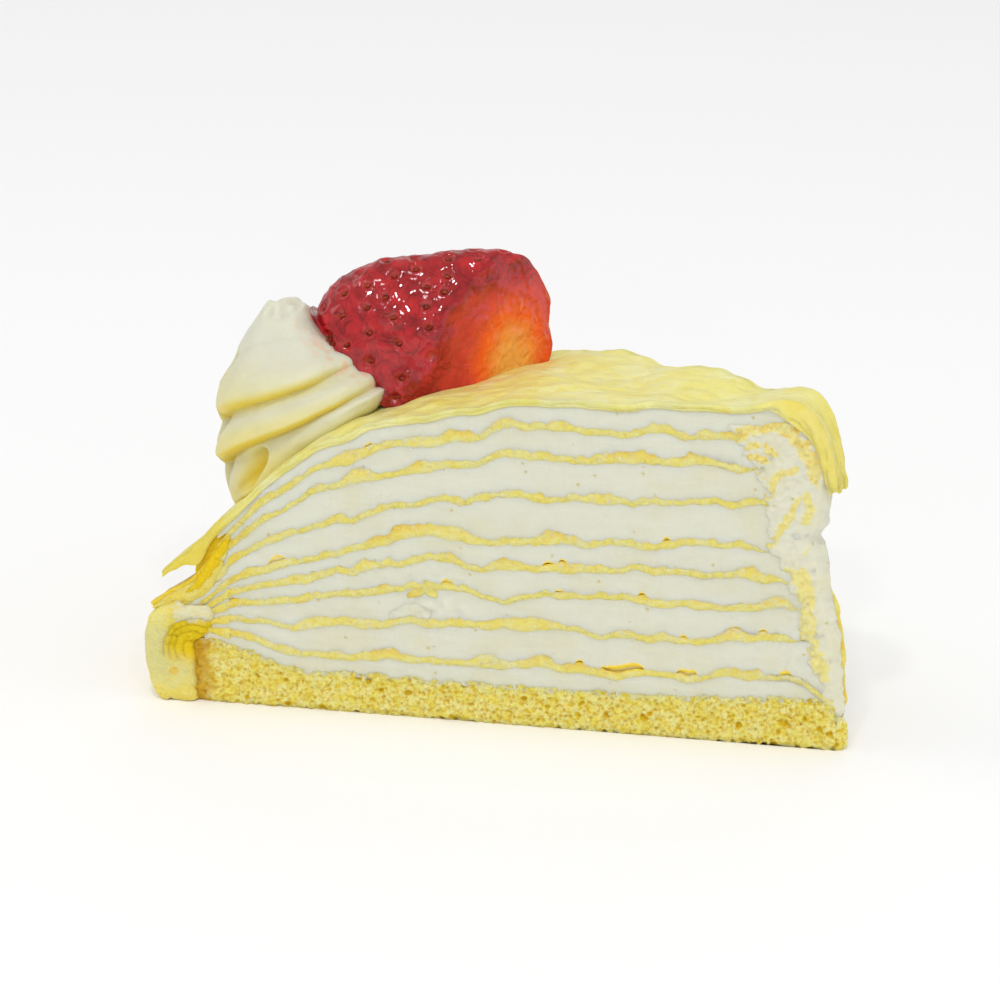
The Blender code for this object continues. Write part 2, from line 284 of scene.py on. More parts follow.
def makeCreamFinish(name, traced=False):
    look = {
        "colour": (0.690, 0.690, 0.570),
        "shade": (0.680, 0.665, 0.500),
        "bubbleShade": (0.700, 0.560, 0.180),
        "gold": (0.980, 0.700, 0.040),
        "crepe": (0.770, 0.680, 0.240),
        "toast": (0.770, 0.530, 0.070),
    }
    finish = Finish(
        name, Roughness=0.55, Subsurface_Weight=0.4, Subsurface_Scale=1.0 * mm,
        Subsurface_Radius=(2.6, 2.2, 1.4), Specular_IOR_Level=0.25,
    )
    spot = finish.spot()
    cloud = finish.cloud(spot, 7.0, 3.0)
    streak = finish.cloud(finish.spot(scale=(0.3, 0.3, 2.2)), 2.0, 3.0)
    scrape = finish.cloud(finish.spot(scale=(1.6, 1.6, 0.35)), 1.1, 3.0, 0.6)
    bubbleShade = finish.cells(spot, 2.1)
    rare = finish.cloud(spot, 4.0, 1.0).step(0.48, 0.6)
    hole = (1 - bubbleShade.step(0.06, 0.14)) * rare
    colour = finish.blend(cloud.step(0.4, 0.72), look["colour"], look["shade"])
    # painted shade: the sparse bubble pits get a darker gold, as if in shade
    colour = finish.blend(hole * 0.8, colour, look["bubbleShade"])
    # painted shade: the mark lays gold over air slots, under the flared edges and between the turned-down hems, with a
    # faint gold tint along the edges
    colour = finish.blend(finish.mark(), colour, look["gold"])
    if traced:
        torn = (finish.mark("trace") * 0.9 + (finish.cloud(spot, 1.1, 4.0, 0.6) - 0.5) * 1.9).step(0.3, 0.85)
        crumb = finish.cloud(spot, 1.0, 3.0, 0.6).step(0.46, 0.62) * finish.mark("toast")
        shred = finish.blend(crumb, look["crepe"], look["toast"])
        colour = finish.blend(torn * finish.mark("trace").step(0.0, 0.2) * 0.92, colour, shred)
    height = streak * 0.5 + scrape * 0.4 + finish.cloud(spot, 0.5, 3.0, 0.6) * 0.4 - hole * 0.8
    return finish.use(Base_Color=colour, Normal=finish.bump(height, 0.16))


def makeCrepeFinish():
    look = {
        "colour": (0.810, 0.670, 0.155),
        "pale": (0.800, 0.710, 0.250),
        "toast": (0.780, 0.520, 0.085),
        "dark": (0.700, 0.390, 0.035),
        "deep": (0.820, 0.550, 0.006),
        "buttery": (0.690, 0.630, 0.260),
        "milk": (0.710, 0.690, 0.500),
    }
    finish = Finish(
        "crepe", Roughness=0.55, Subsurface_Weight=0.35, Subsurface_Scale=1.0 * mm,
        Subsurface_Radius=(2.4, 1.7, 0.5), Specular_IOR_Level=0.2,
    )
    spot = finish.spot()
    side = finish.mark()
    patch = finish.cloud(spot, 4.0, 2.0)
    fleck = finish.cloud(spot, 0.8, 3.0, 0.6)
    colour = finish.blend(finish.cloud(spot, 1.8, 2.0).step(0.4, 0.62), look["colour"], look["pale"])
    toast = side.step(0.3, 1.0) * patch.step(0.44, 0.6)
    colour = finish.blend(toast * 0.8, colour, look["toast"])
    speck = fleck.step(0.54, 0.68) * side.step(0.2, 0.9)
    colour = finish.blend(speck * 0.45, colour, look["dark"])
    colour = finish.blend(finish.mark("pale"), colour, look["buttery"])
    # painted shade: this saturated gold stands for shade where crepes lie in slots, folds, turned-down hems and under
    # the flared rim
    colour = finish.blend(finish.mark("deep"), colour, look["deep"])
    milk = (finish.mark("milk") + (finish.cloud(spot, 0.8, 3.0, 0.6) - 0.5) * 1.4).step(0.25, 0.75)
    colour = finish.blend(milk * 0.8 * finish.mark("milk").step(0.0, 0.15), colour, look["milk"])
    return finish.use(Base_Color=colour, Normal=finish.bump(fleck, 0.45))


def makeTopFinish():
    look = {
        "colour": (0.820, 0.735, 0.215),
        "pale": (0.835, 0.785, 0.340),
        "gold": (0.800, 0.665, 0.120),
        "deep": (0.740, 0.570, 0.040),
    }
    finish = Finish(
        "top_crepe", Roughness=0.45, Subsurface_Weight=0.3, Subsurface_Scale=1.0 * mm,
        Subsurface_Radius=(2.2, 1.6, 0.5), Coat_Weight=0.15, Coat_Roughness=0.3, Specular_IOR_Level=0.25,
    )
    spot = finish.spot()
    patch = finish.cloud(spot, 6.0, 3.0, 0.55)
    pebble = finish.cells(finish.spot(scale=(0.8, 1.3, 1.0), turn=(0, 0, math.radians(35))), 2.6, "SMOOTH_F1")
    fine = finish.cloud(spot, 0.7, 3.0, 0.6)
    colour = finish.blend(patch.step(0.42, 0.66), look["colour"], look["pale"])
    colour = finish.blend(finish.cloud(spot, 2.4, 2.0).step(0.52, 0.7) * 0.5, colour, look["gold"])
    # painted shade: the deep gold darkens the flared rim and the flap over the near cut
    colour = finish.blend(finish.mark("deep"), colour, look["deep"])
    height = finish.bump(pebble, 0.5, under=finish.bump(fine, 0.16))
    return finish.use(Base_Color=colour, Normal=height)


def makeSpongeFinish():
    look = {
        "crumb": (0.930, 0.790, 0.160),
        "wall": (0.960, 0.870, 0.340),
        "pore": (0.780, 0.530, 0.020),
        "crust": (0.660, 0.370, 0.020),
        "cream": (0.780, 0.760, 0.520),
    }
    finish = Finish(
        "sponge", Roughness=0.8, Subsurface_Weight=0.35, Subsurface_Scale=1.0 * mm,
        Subsurface_Radius=(2.2, 1.6, 0.4), Specular_IOR_Level=0.15,
    )
    spot = finish.spot()
    grain = finish.cloud(spot, 0.55, 4.0, 0.65)
    curd = finish.cloud(spot, 1.5, 3.0, 0.6)
    colour = finish.blend(curd.step(0.38, 0.62), look["crumb"], look["wall"])
    # painted shade: the pore colour fills the deep pores; the same colour also comes in as random grain
    colour = finish.blend(finish.mark().step(0.05, 0.6), colour, look["pore"])
    colour = finish.blend(grain.step(0.5, 0.6) * 0.75, colour, look["pore"])
    colour = finish.blend(finish.mark("crust"), colour, look["crust"])
    soak = (finish.mark("rise") + (finish.cloud(spot, 1.2, 3.0) - 0.5) * 0.9).step(0.9, 1.1)
    colour = finish.blend(soak * 0.6, colour, look["cream"])
    return finish.use(Base_Color=colour, Normal=finish.bump(grain, 0.7))


def makeSwirlFinish():
    look = {
        "colour": (0.660, 0.655, 0.530),
        "warmShade": (0.690, 0.640, 0.320),
        "shade": (0.760, 0.600, 0.080),
        "stain": (0.800, 0.400, 0.230),
    }
    finish = Finish(
        "whipped_cream", Roughness=0.42, Subsurface_Weight=0.45, Subsurface_Scale=1.0 * mm,
        Subsurface_Radius=(3.2, 2.7, 1.6), Specular_IOR_Level=0.25,
    )
    spot = finish.spot()
    # painted shade: the mark turns the cream yellow under the coils, in the fold and low down
    hollow = finish.mark("hollow")
    colour = finish.ramp(hollow, (0.0, look["colour"]), (0.4, look["warmShade"]), (1.0, look["shade"]))
    stain = finish.mark("stain") * finish.cloud(spot, 1.5, 3.0).step(0.42, 0.64)
    colour = finish.blend(stain * 0.55, colour, look["stain"])
    return finish.use(Base_Color=colour, Normal=finish.bump(finish.cloud(spot, 1.1, 3.0), 0.12))


def makeBerryFinish():
    look = {
        "skin": (0.330, 0.002, 0.005),
        "bright": (0.500, 0.008, 0.012),
        "rim": (0.600, 0.060, 0.050),
        "edge": (0.560, 0.028, 0.020),
        "pink": (0.680, 0.050, 0.026),
        "flesh": (0.900, 0.110, 0.004),
        "heart": (0.900, 0.400, 0.070),
        "fibre": (0.920, 0.420, 0.200),
    }
    finish = Finish(
        "strawberry", Roughness=0.35, Subsurface_Weight=0.25, Subsurface_Scale=1.0 * mm,
        Subsurface_Radius=(3.0, 0.5, 0.25), Coat_Weight=1.0, Coat_Roughness=0.02, Coat_IOR=1.5,
        Specular_IOR_Level=0.05,
    )
    spot = finish.spot()
    cloud = finish.cloud(spot, 3.0, 3.0, 0.6)
    skin = finish.blend(cloud.step(0.38, 0.66), look["skin"], look["bright"])
    skin = finish.blend(finish.mark("pit") * 0.7, skin, look["rim"])
    blush = finish.mark("flesh")
    heart = finish.mark("heart") + (finish.cloud(spot, 2.2, 2.0) - 0.5) * 0.25
    flesh = finish.ramp(heart, (0.0, look["edge"]), (0.18, look["pink"]), (0.42, look["flesh"]), (0.8, look["heart"]))
    fibre = finish.cloud(finish.mark("fibre") * 1.0, 0.09, 1.0).step(0.55, 0.72)
    fibre = fibre * finish.cloud(spot, 1.6, 1.0).step(0.46, 0.6) * finish.mark("heart").step(0.05, 0.3)
    flesh = finish.blend(fibre * 0.5, flesh, look["fibre"])
    colour = finish.blend(blush, skin, flesh)
    glaze = finish.cloud(spot, 2.4, 1.0, 0.5, 1.2) * (1 - blush * 0.7)
    return finish.use(Base_Color=colour, Normal=finish.bump(glaze, 2.2))


def makeSeedFinish():
    finish = Finish("berry_seed", Roughness=0.5, Coat_Weight=0.4, Coat_Roughness=0.1, Coat_IOR=1.3, Specular_IOR_Level=0.1)
    shade = finish.cloud(finish.spot(), 0.5, 2.0).step(0.4, 0.6)
    return finish.use(Base_Color=finish.blend(shade, (0.110, 0.006, 0.003), (0.300, 0.040, 0.010)))


creamFinish = makeCreamFinish("cream")
tornFinish = makeCreamFinish("cream_and_crepe", traced=True)
crepeFinish = makeCrepeFinish()
topFinish = makeTopFinish()
spongeFinish = makeSpongeFinish()
swirlFinish = makeSwirlFinish()
berryFinish = makeBerryFinish()
seedFinish = makeSeedFinish()
print("finishes made")


# ---------- the layers ----------

layers = {
    "wave": 0.45,
    "waveLength": 38.0,
    "ripple": 1.0,
    "rippleLength": 5.5,
    "thickness": 1.35,
    "wrapInner": ((91.6, 10.9), (94.3, 10.4), (94.9, 6.5), (94.9, 1.6)),
    "wrapOuter": ((93.2, 18.0), (98.9, 14.2), (101.2, 8.6), (98.9, 0.7)),
    "lowerFlare": ((88.0, 26.1), (90.4, 22.8), (92.6, 20.0), (95.2, 17.9), (97.6, 16.4), (100.0, 14.8)),
    # where each crepe starts, from the sponge up
    "starts": (-1.4, 3.4, 3.4, 4.8, 8.6, 7.6, 9.6, 8.0),
    # crepes whose tips turn down, as (s, z)
    "turned": {8: ((1.9, 40.8), (2.7, 43.2), (4.3, 45.4), (6.6, 46.7))},
    # slots of air over a crepe at the near cut, as (crepe, s, half length, height)
    "slots": (
        (1, 29.0, 3.2, 1.15), (1, 19.8, 1.5, 0.95), (1, 35.5, 0.7, 0.4), (1, 5.6, 0.9, 0.6),
        (4, 40.2, 0.9, 0.5), (4, 38.0, 0.6, 0.45), (3, 38.5, 0.7, 0.5), (3, 26.5, 0.5, 0.5),
        (5, 23.0, 0.6, 0.5), (2, 20.4, 0.6, 0.4), (2, 13.2, 1.2, 0.3), (2, 9.0, 0.8, 0.35),
        (5, 80.6, 1.3, 0.95), (8, 66.5, 0.7, 0.4), (3, 88.0, 1.0, 0.5), (3, 55.0, 1.0, 0.45),
    ),
}
tipProfile = (
    (0.0, -2.6), (3.0, -2.9), (6.0, -2.2), (10.0, -1.7), (16.0, -1.2), (20.0, -0.2), (24.0, 0.8),
    (28.0, 1.2), (31.0, 2.7), (34.0, 1.6), (38.0, 1.2), (42.0, 0.6), (46.0, 1.4), (49.0, 2.6), (50.6, 5.0),
)
topCrepe = {
    "drape": ((-0.9, 38.8), (0.1, 42.6), (1.3, 46.4), (2.9, 49.4), (5.7, 51.2), (10.0, 50.7)),
    "flare": ((86.5, 30.3), (89.2, 28.2), (91.8, 25.4), (94.6, 22.9), (97.4, 20.7)),
    # where the flap that hangs over the near cut ends
    "flapEnd": ((0.3, 38.4), (1.2, 41.8), (2.0, 44.4), (3.6, 46.8), (6.6, 49.0), (10.8, 49.9)),
    "step": 5.0,
    "thickness": 1.05,
    "edge": 0.6,
    "along": 280,
    "across": 110,
    "turnRows": 12,
}
topSteps = []
spotS = topCrepe["drape"][-1][0] + topCrepe["step"]
while spotS < topCrepe["flare"][0][0] - topCrepe["step"] * 0.5:
    topSteps.append((spotS, dome(spotS) + 0.3 + topCrepe["thickness"] / 2))
    spotS += topCrepe["step"]
topPoints = (*topCrepe["drape"], *topSteps, *topCrepe["flare"])
topProfile = [curveThrough(topPoints, n / 400) for n in range(401)]


def topFolds(s, phi):
    # lumps and aslant folds of the top crepe
    arc = (s + cake["tipCut"]) * phi
    folds = 0.7 * ripple(s / 12, arc / 9, seed=11.0) + 0.4 * ripple(s / 5.5, arc / 6, seed=12.0)
    folds += 0.45 * ripple((s + arc) / 4.5, (s - arc) / 13, seed=13.0)
    calm = smooth(s, 4, 14) * (1 - smooth(s, 78, 88))
    return (lump(s, phi) + folds) * calm


def skinHeight(s, phi):
    # middle of the top crepe over s
    at0 = bisect.bisect([spot.x for spot in topProfile], s)
    at0 = min(max(at0, 1), len(topProfile) - 1)
    low, high = topProfile[at0 - 1], topProfile[at0]
    share = min(1.0, max(0.0, (s - low.x) / (high.x - low.x)))
    return mix(low.y, high.y, share) + topFolds(s, phi)


def swelling(number, s, phi):
    # crepes puff up in places, mostly on their upper side
    broad = max(0.0, ripple(s / 4.4, phi * 7, number * 5.3, seed=2.1) + 0.08)
    small = max(0.0, ripple(s / 1.5, phi * 16, number * 3.1, seed=2.6))
    return 1.7 * broad + 0.7 * small


def thickness(number, s, phi):
    rough = 0.2 * ripple(s / 0.9, phi * 40, number * 9.7)
    calm = 1 - 0.6 * smooth(s, 70, 86)
    thick = layers["thickness"] * (0.85 + 0.3 * ripple(s / 9, phi * 3, number * 2.2)) + rough
    thick += swelling(number, s, phi) * calm
    if number in layers["turned"]:
        return thick
    # a torn end comes to a thin edge
    return thick * smooth(s + ripple(phi * 9, number), crepeStart(number) - 0.5, crepeStart(number) + 3.2) ** 0.7


def layerHeight(number, s, phi):
    # middle of a crepe: 0 is the sponge's upper side, and 9 the underside of the top crepe
    shares = cake["shares"]
    if number > len(shares):
        return skinHeight(s, phi) - topCrepe["thickness"] * 0.35
    share = 0.0 if number == 0 else shares[number - 1]
    low, high = spongeTop(s), dome(s)
    calm = 1 - smooth(s, 70, 86)
    height = mix(low, high, share)
    height += layers["wave"] * math.sin(2 * math.pi * s / layers["waveLength"] + 9 * share + 1.5 * phi) * (
        math.sin(math.pi * share) * calm
    )
    if number:
        waves = ripple(s / layers["rippleLength"], phi * 6, number * 7.7, seed=4.0)
        waves += 0.4 * ripple(s / 2.3, phi * 12, number * 4.1, seed=4.5)
        height += layers["ripple"] * waves * (0.3 + 0.7 * calm)
    offHump = math.hypot((s - 58) / 6, (share - 0.33) / 0.16)
    height += 1.6 * math.exp(-(offHump**2))
    if number == 1:
        height -= 2.6 * (1 - smooth(s, -2, 7))
    return height + topFolds(s, phi) * smooth(share, 0.55, 1.0)


def pleat(phi, u, share):
    # folds of the crepe edges outside the sponge
    fold = 0.8 * math.sin(15 * phi + 0.6) + 0.5 * math.sin(31 * phi + 2.0) + 0.7 * ripple(phi * 11, u * 2, seed=8.0)
    return fold * smooth(u, 0.2, 0.8) * share


def wrapSpot(number, u, phi):
    # middle of a crepe past the cream's end, u from 0 to 1 at the hem, and the way across it
    shares = cake["shares"]
    if number == len(shares):
        here, ahead = (curveThrough(layers["lowerFlare"], min(u + step, 1.0)) for step in (-0.02, 0.02))
        run = (ahead - here).normalized()
        across = mix(Vector((0.0, 1.0)), Vector((-run.y, run.x)), smooth(u, 0.0, 0.3)).normalized()
        ruffle = Vector((0.9, 0.5)) * smooth(u, 0.3, 1.0) * (math.sin(9 * phi + 1.2) - 1)
        ruffle *= 1 - smooth(-phi, 0.2, cake["halfAngle"])
        wave = Vector((0.0, 0.6)) * ripple(phi * 16, u * 3, seed=3.0) * smooth(u, 0.2, 1.0)
        return curveThrough(layers["lowerFlare"], u) + ruffle + wave, across
    end = cake["creamEnd"]
    share = mix(shares[number - 1], (number - 0.5) / 7, smooth(u, 0.0, 0.3))
    low = curveThrough(((end, spongeTop(end)), *layers["wrapInner"]), u)
    high = curveThrough(((end, dome(end)), *layers["wrapOuter"]), u)
    across = (high - low).normalized()
    crinkle = 0.5 * ripple(u * 9, phi * 12, number * 0.8) * smooth(u, 0.0, 0.2) * math.sin(math.pi * share)
    return low.lerp(high, share) + across * (pleat(phi, u, share) * 0.5 + crinkle), across


def cutRelief(s, z):
    # how far a cut stands out, in mm: knife drag and smears, the same for all the layers
    drag = 0.2 * ripple(s / 10, z / 5, seed=1.0) + 0.1 * ripple(s / 2.6, z / 1.1, seed=6.0)
    drag += 0.05 * ripple(s / 0.7, z / 1.6, seed=6.5)
    rough = 0.3 * ripple(s / 1.3, z / 1.3, seed=5.0) * (1 - smooth(s, 2, 9)) * smooth(z, 8, 12)
    puckers = 0.6 * ripple(s / 1.6, z / 1.0, seed=7.0) * math.exp(-(math.hypot((s - 57) / 5, (z - 18) / 5) ** 2))
    return drag + rough + puckers


def faced(s, z, phi, v, extra=0.0):
    # a point of a layer, moved out by the relief where it lies on a cut
    if 0 < v < 1:
        return at(s, z, phi)
    relief = cutRelief(s, z) + extra
    return at(s, z, phi, relief if v else -relief)


def slotHeight(number, s, phi):
    # the air over a crepe, near the cut that faces -Y
    if phi > 0:
        return 0.0
    height = 0.0
    for crepe, middle, half, rise in layers["slots"]:
        if crepe == number and abs(s - middle) < half:
            height += rise * (1 - ((s - middle) / half) ** 2) ** 0.6 * (1 - smooth(cutDepth(s, phi), 0.0, 0.45))
    return height


sponge = {"end": 94.0, "along": 520, "across": 12, "rise": 36, "pore": 0.5}


def sponginess(spot):
    # depth of the pores at a point, from 0 to 1, which also paints shade into them
    large = noise.voronoi(spot / 1.5)[0]
    small = noise.voronoi(spot / 0.8 + Vector((3, 7, 1)))[0]
    openness = smooth(ripple(*(spot / 2.2), seed=9.0), -0.1, 0.35)
    deep = (1 - smooth(large[0], 0.12, 0.46)) * openness + 0.5 * (1 - smooth(small[0], 0.1, 0.5))
    return min(1.0, deep)


def addSponge():
    start = -3.4

    def place(u, v, w):
        s = mix(start, sponge["end"], u)
        phi = cutPhi(v)
        tip = smooth(-s, 0.0, 3.4)
        top = spongeTop(s) - 2.8 * tip
        ragged = 0.5 * ripple(s / 1.6, phi * 30, seed=3.3) + 0.4 * ripple(s / 0.6, phi * 60)
        z = w * (top + ragged * (1 - smooth(s, 86, 92)))
        round0 = 0.5 * (1 - smooth(s, start, start + 2)) * (2 * w - 0.8) ** 2
        nose = 1.0 * (1 - smooth(s, start, -1.8)) * abs(phi / cake["halfAngle"]) ** 2 + round0
        deep = 0.0
        spot = at(s + nose, z, phi)
        if v in (0, 1) or u == 0:
            # the pore depth both cuts the pits and paints shade into them
            deep = sponginess(spot)
            relief = 0.25 - sponge["pore"] * deep + 0.4 * ripple(*(spot / 0.9)) + 0.22 * ripple(*(spot / 0.4))
            relief -= 0.45 * (1 - smooth(z, 0.0, 0.9))
            if u == 0:
                spot.x += relief * 0.6
            else:
                spot = at(s + nose, z, phi, relief if v else -relief)
        crust = smooth(s + 0.9 * ripple(z / 1.2, s / 1.2, seed=9.5), sponge["end"] - 4.4, sponge["end"] - 0.8)
        crust += 0.5 * smooth(s, 88, 92) * smooth(z, 7.0, 10.0) * smooth(ripple(s, z), -0.2, 0.3)
        crust += 0.25 * (1 - smooth(z, 0.0, 0.6)) * smooth(ripple(s / 4, seed=2.0), -0.3, 0.4)
        return spot, deep, w, min(crust, 1.0)

    bm = block(sponge["along"], sponge["across"], sponge["rise"], place, ("mark", "rise", "crust"))
    addPiece("sponge_layer", bm, spongeFinish, "sponge_base", crease=60)


cream = {"along": 440, "across": 14, "turn": 0.93}


def layerBounds(number, s, phi):
    # upper side of crepe number - 1 and lower side of crepe number
    low = layerHeight(number - 1, s, phi)
    high = layerHeight(number, s, phi)
    if number > 1:
        below = thickness(number - 1, s, phi)
        low += max(0.0, below - 0.4 * layers["thickness"]) - 0.12 + slotHeight(number - 1, s, phi)
    else:
        low -= 0.7
    if number <= len(cake["shares"]):
        high -= min(0.4 * layers["thickness"], thickness(number, s, phi)) - 0.12
    return low, max(high, low + 0.05)


def crepeStart(number):
    return layers["starts"][number - 1]


def addCream(number):
    count = len(cake["shares"])
    share = cake["shares"][number - 1] if number <= count else 1.0
    rise = max(6, round(90 * (share - (cake["shares"][number - 2] if number > 1 else -0.06))))

    def place(u, v, w):
        phi = cutPhi(v)
        if u <= cream["turn"]:
            k = u / cream["turn"]
            low, high = layerBounds(number, 2.0, phi)
            start = along(tipProfile, mix(low, high, w)) + 0.8 * (phi / cake["halfAngle"]) ** 2
            start += 0.35 * ripple(w * 3, number, phi * 9)
            s = mix(start, cake["creamEnd"], k)
            low, high = layerBounds(number, s, phi)
            z = mix(low, high, w)
            # painted shade: gold over the air slot under this cream, and a faint gold tint along both its sides
            gold = smooth(slotHeight(number - 1, s, phi), 0.03, 0.25) if w == 0 else 0.0
            if w in (0, 1):
                gold = max(gold, 0.1 + 0.15 * ripple(s / 1.2, z, seed=5.8))
            if v in (0, 1) and w in (0, 1):
                z += 0.3 * ripple(s / 0.7, number * 3.1, w, seed=5.9) + 0.12 * ripple(s / 0.3, number, w)
                return faced(s, z, phi, v, 0.02), gold
            return faced(s, z, phi, v), gold
        k = (u - cream["turn"]) / (1 - cream["turn"])
        end = cake["creamEnd"]
        if number >= count:
            # the upper two creams end in a rounded nose under the flared edges
            s = end + 1.6 * math.sqrt(k) * math.sin(math.pi * min(max(w, 0.04), 0.96))
            low, high = layerBounds(number, s, phi)
            # painted shade: the nose turns gold towards its end, under the flared edges
            return faced(s, mix(low, high, mix(w, 0.5, 0.2 * k)), phi, v), 0.4 * k
        if number > 1:
            lower = wrapSpot(number - 1, k * 0.32, phi)[0]
        else:
            lower = Vector((mix(end, 93.4, k), mix(spongeTop(end) - 0.7, 10.0, k)))
        upper, across = wrapSpot(number, k * 0.32, phi)
        inset = mix(thickness(number, end, phi), 0.5, smooth(k, 0.0, 0.5)) * 0.3
        lower, upper = lower + across * inset, upper - across * inset
        middle = (lower + upper) / 2
        spot = middle + (mix(lower, upper, w) - middle) * max(1 - smooth(k, 0.55, 1.0), 0.08)
        # painted shade: gold between the turned-down crepes
        return faced(spot.x, spot.y, phi, v, -0.15 * k), 0.3 * k

    bm = block(cream["along"], cream["across"], rise, place)
    addPiece(f"cream_layer_{number}", bm, creamFinish, f"cream_{number}")


crepe = {"tipRows": 30, "flatRows": 400, "wrapRows": 60, "across": 14, "rise": 4, "hemThickness": 0.72}


def addCrepe(number):
    hemShare = mix(0.66, 1.0, min(1.0, (number - 1) / 6))
    turned = layers["turned"].get(number)
    tipRows = crepe["tipRows"] if turned else 0
    flatEnd = tipRows + crepe["flatRows"]
    rows = flatEnd + crepe["wrapRows"]
    start = crepeStart(number)

    def middleAt(row, phi):
        if row < tipRows:
            joined = (*turned, (start, layerHeight(number, start, phi)))
            k = row / tipRows
            here, ahead = curveThrough(joined, max(k - 0.03, 0)), curveThrough(joined, min(k + 0.03, 1))
            run = (ahead - here).normalized()
            return curveThrough(joined, k), Vector((-run.y, run.x)), 0.55 + 0.5 * smooth(k, 0.6, 1.0)
        if row <= flatEnd:
            s = mix(start, cake["creamEnd"], (row - tipRows) / crepe["flatRows"])
            return Vector((s, layerHeight(number, s, phi))), Vector((0.0, 1.0)), thickness(number, s, phi)
        u = hemShare * (row - flatEnd) / crepe["wrapRows"]
        middle, across = wrapSpot(number, u, phi)
        thick = mix(thickness(number, 88.0, phi), crepe["hemThickness"], smooth(u, 0.0, 0.25))
        return middle, across, thick * (1 + 0.3 * ripple(u * 14, phi * 14, number))

    def place(u, v, w):
        phi = cutPhi(v)
        row = round(u * rows)
        middle, across, thick = middleAt(row, phi)
        flat = tipRows <= row <= flatEnd
        offset = w * thick - (min(0.4 * layers["thickness"], thick) if flat else 0.5 * thick)
        spot = middle + across * offset
        pillow = math.sin(math.pi * w)
        ragged = pillow * (0.1 + 0.28 * ripple(spot.x / 0.8, spot.y / 0.5, number)) - 0.01
        if row > flatEnd:
            # the ends of the hem are tucked in behind the fold at the corner
            under = smooth(spot.x, 93.5, 95.0) * (1 - smooth(spot.y, 4.4, 6.0))
            ragged += 0.1 + 0.2 * ripple(spot.x / 1.6, spot.y / 1.6, number) - 1.4 * under
        puffed = smooth(thick, 1.0, 2.0) if flat else 0.2
        milk = 0.22 + 0.22 * (1 - pillow) + 0.2 * ripple(spot.x / 5, number, seed=5.5)
        milk += 0.15 * (1 - smooth(spot.x, 4, 12))
        if number == len(cake["shares"]):
            puffed += 0.9 * smooth(spot.x, 8, 12) * (1 - smooth(spot.x, 22, 30))
        # painted shade: gold on the turned-down hems, on a crepe's upper side under an air slot, and on the crepes near
        # the flared rim
        deep = 0.0 if flat else 0.45 * smooth(row, flatEnd, flatEnd + 14)
        if w == 1 and flat and slotHeight(number, spot.x, phi) > 0.05:
            deep = 0.9
        if not flat:
            milk = 0.0
        if number == len(cake["shares"]):
            deep = max(deep, 0.8 * smooth(middle.x, 87, 90))
        elif flat:
            deep = max(deep, (0.5 + 0.3 * ripple(middle.x / 2.4, number, seed=6.5)) * smooth(middle.x, 83, 88))
        return faced(spot.x, spot.y, phi, v, ragged), w * (0.4 + 0.6 * puffed), deep, milk

    bm = block(rows, crepe["across"], crepe["rise"], place, ("mark", "deep", "milk"))
    addPiece(f"crepe_layer_{number}", bm, crepeFinish, f"crepe_{number}", crease=50)


def addFan():
    # what shows between the crepe edges: crepe folded in behind them, coloured all over in the gold of painted shade
    upper = ((84, 31.2), (86.5, 29.6), (89.2, 27.3), (91.0, 24.9), (92.6, 22.3), (93.2, 20.4))
    lower = ((84, 24.0), (86.5, 21.5), (89.2, 18.6), (91.0, 17.4), (92.6, 16.8), (93.2, 17.6))

    def placeFan(u, v, w):
        phi = mix(-0.97, 0.97, v) * cake["halfAngle"]
        spot = wrapSpot(1, u * 0.62, phi)[0].lerp(wrapSpot(7, u * 0.96, phi)[0], w)
        return at(spot.x, spot.y, phi), 0.5, 1.0

    def placeFins(u, v, w):
        phi = mix(-0.985, 0.985, v) * cake["halfAngle"]
        spot = mix(curveThrough(lower, u), curveThrough(upper, u), w)
        spot.x += 0.5 * ripple(spot.y / 2, phi * 9, seed=41.0)
        return at(spot.x, spot.y, phi), 0.5, 1.0

    for name, place in (("crepe_fan_inside", placeFan), ("crepe_fins_inside", placeFins)):
        bm = block(40, 60, 8, place, ("mark", "deep"))
        addPiece(name, bm, crepeFinish)


rimFold = {
    # the outermost crepe's corner, folded round onto the cut, as (z, s) of its two edges
    "outer": (
        (0.0, 98.0), (1.5, 99.3), (3.0, 100.0), (6.0, 100.5), (10.0, 100.6), (12.5, 100.0), (13.8, 99.0), (15.2, 95.6),
    ),
    "inner": (
        (0.0, 93.9), (3.0, 94.1), (8.8, 94.2), (9.5, 94.3), (10.3, 93.5), (11.0, 92.4), (12.0, 91.4), (14.2, 90.9),
        (15.2, 91.6),
    ),
    "thickness": 0.8,
    "low": 0.3,
    "high": 15.2,
}


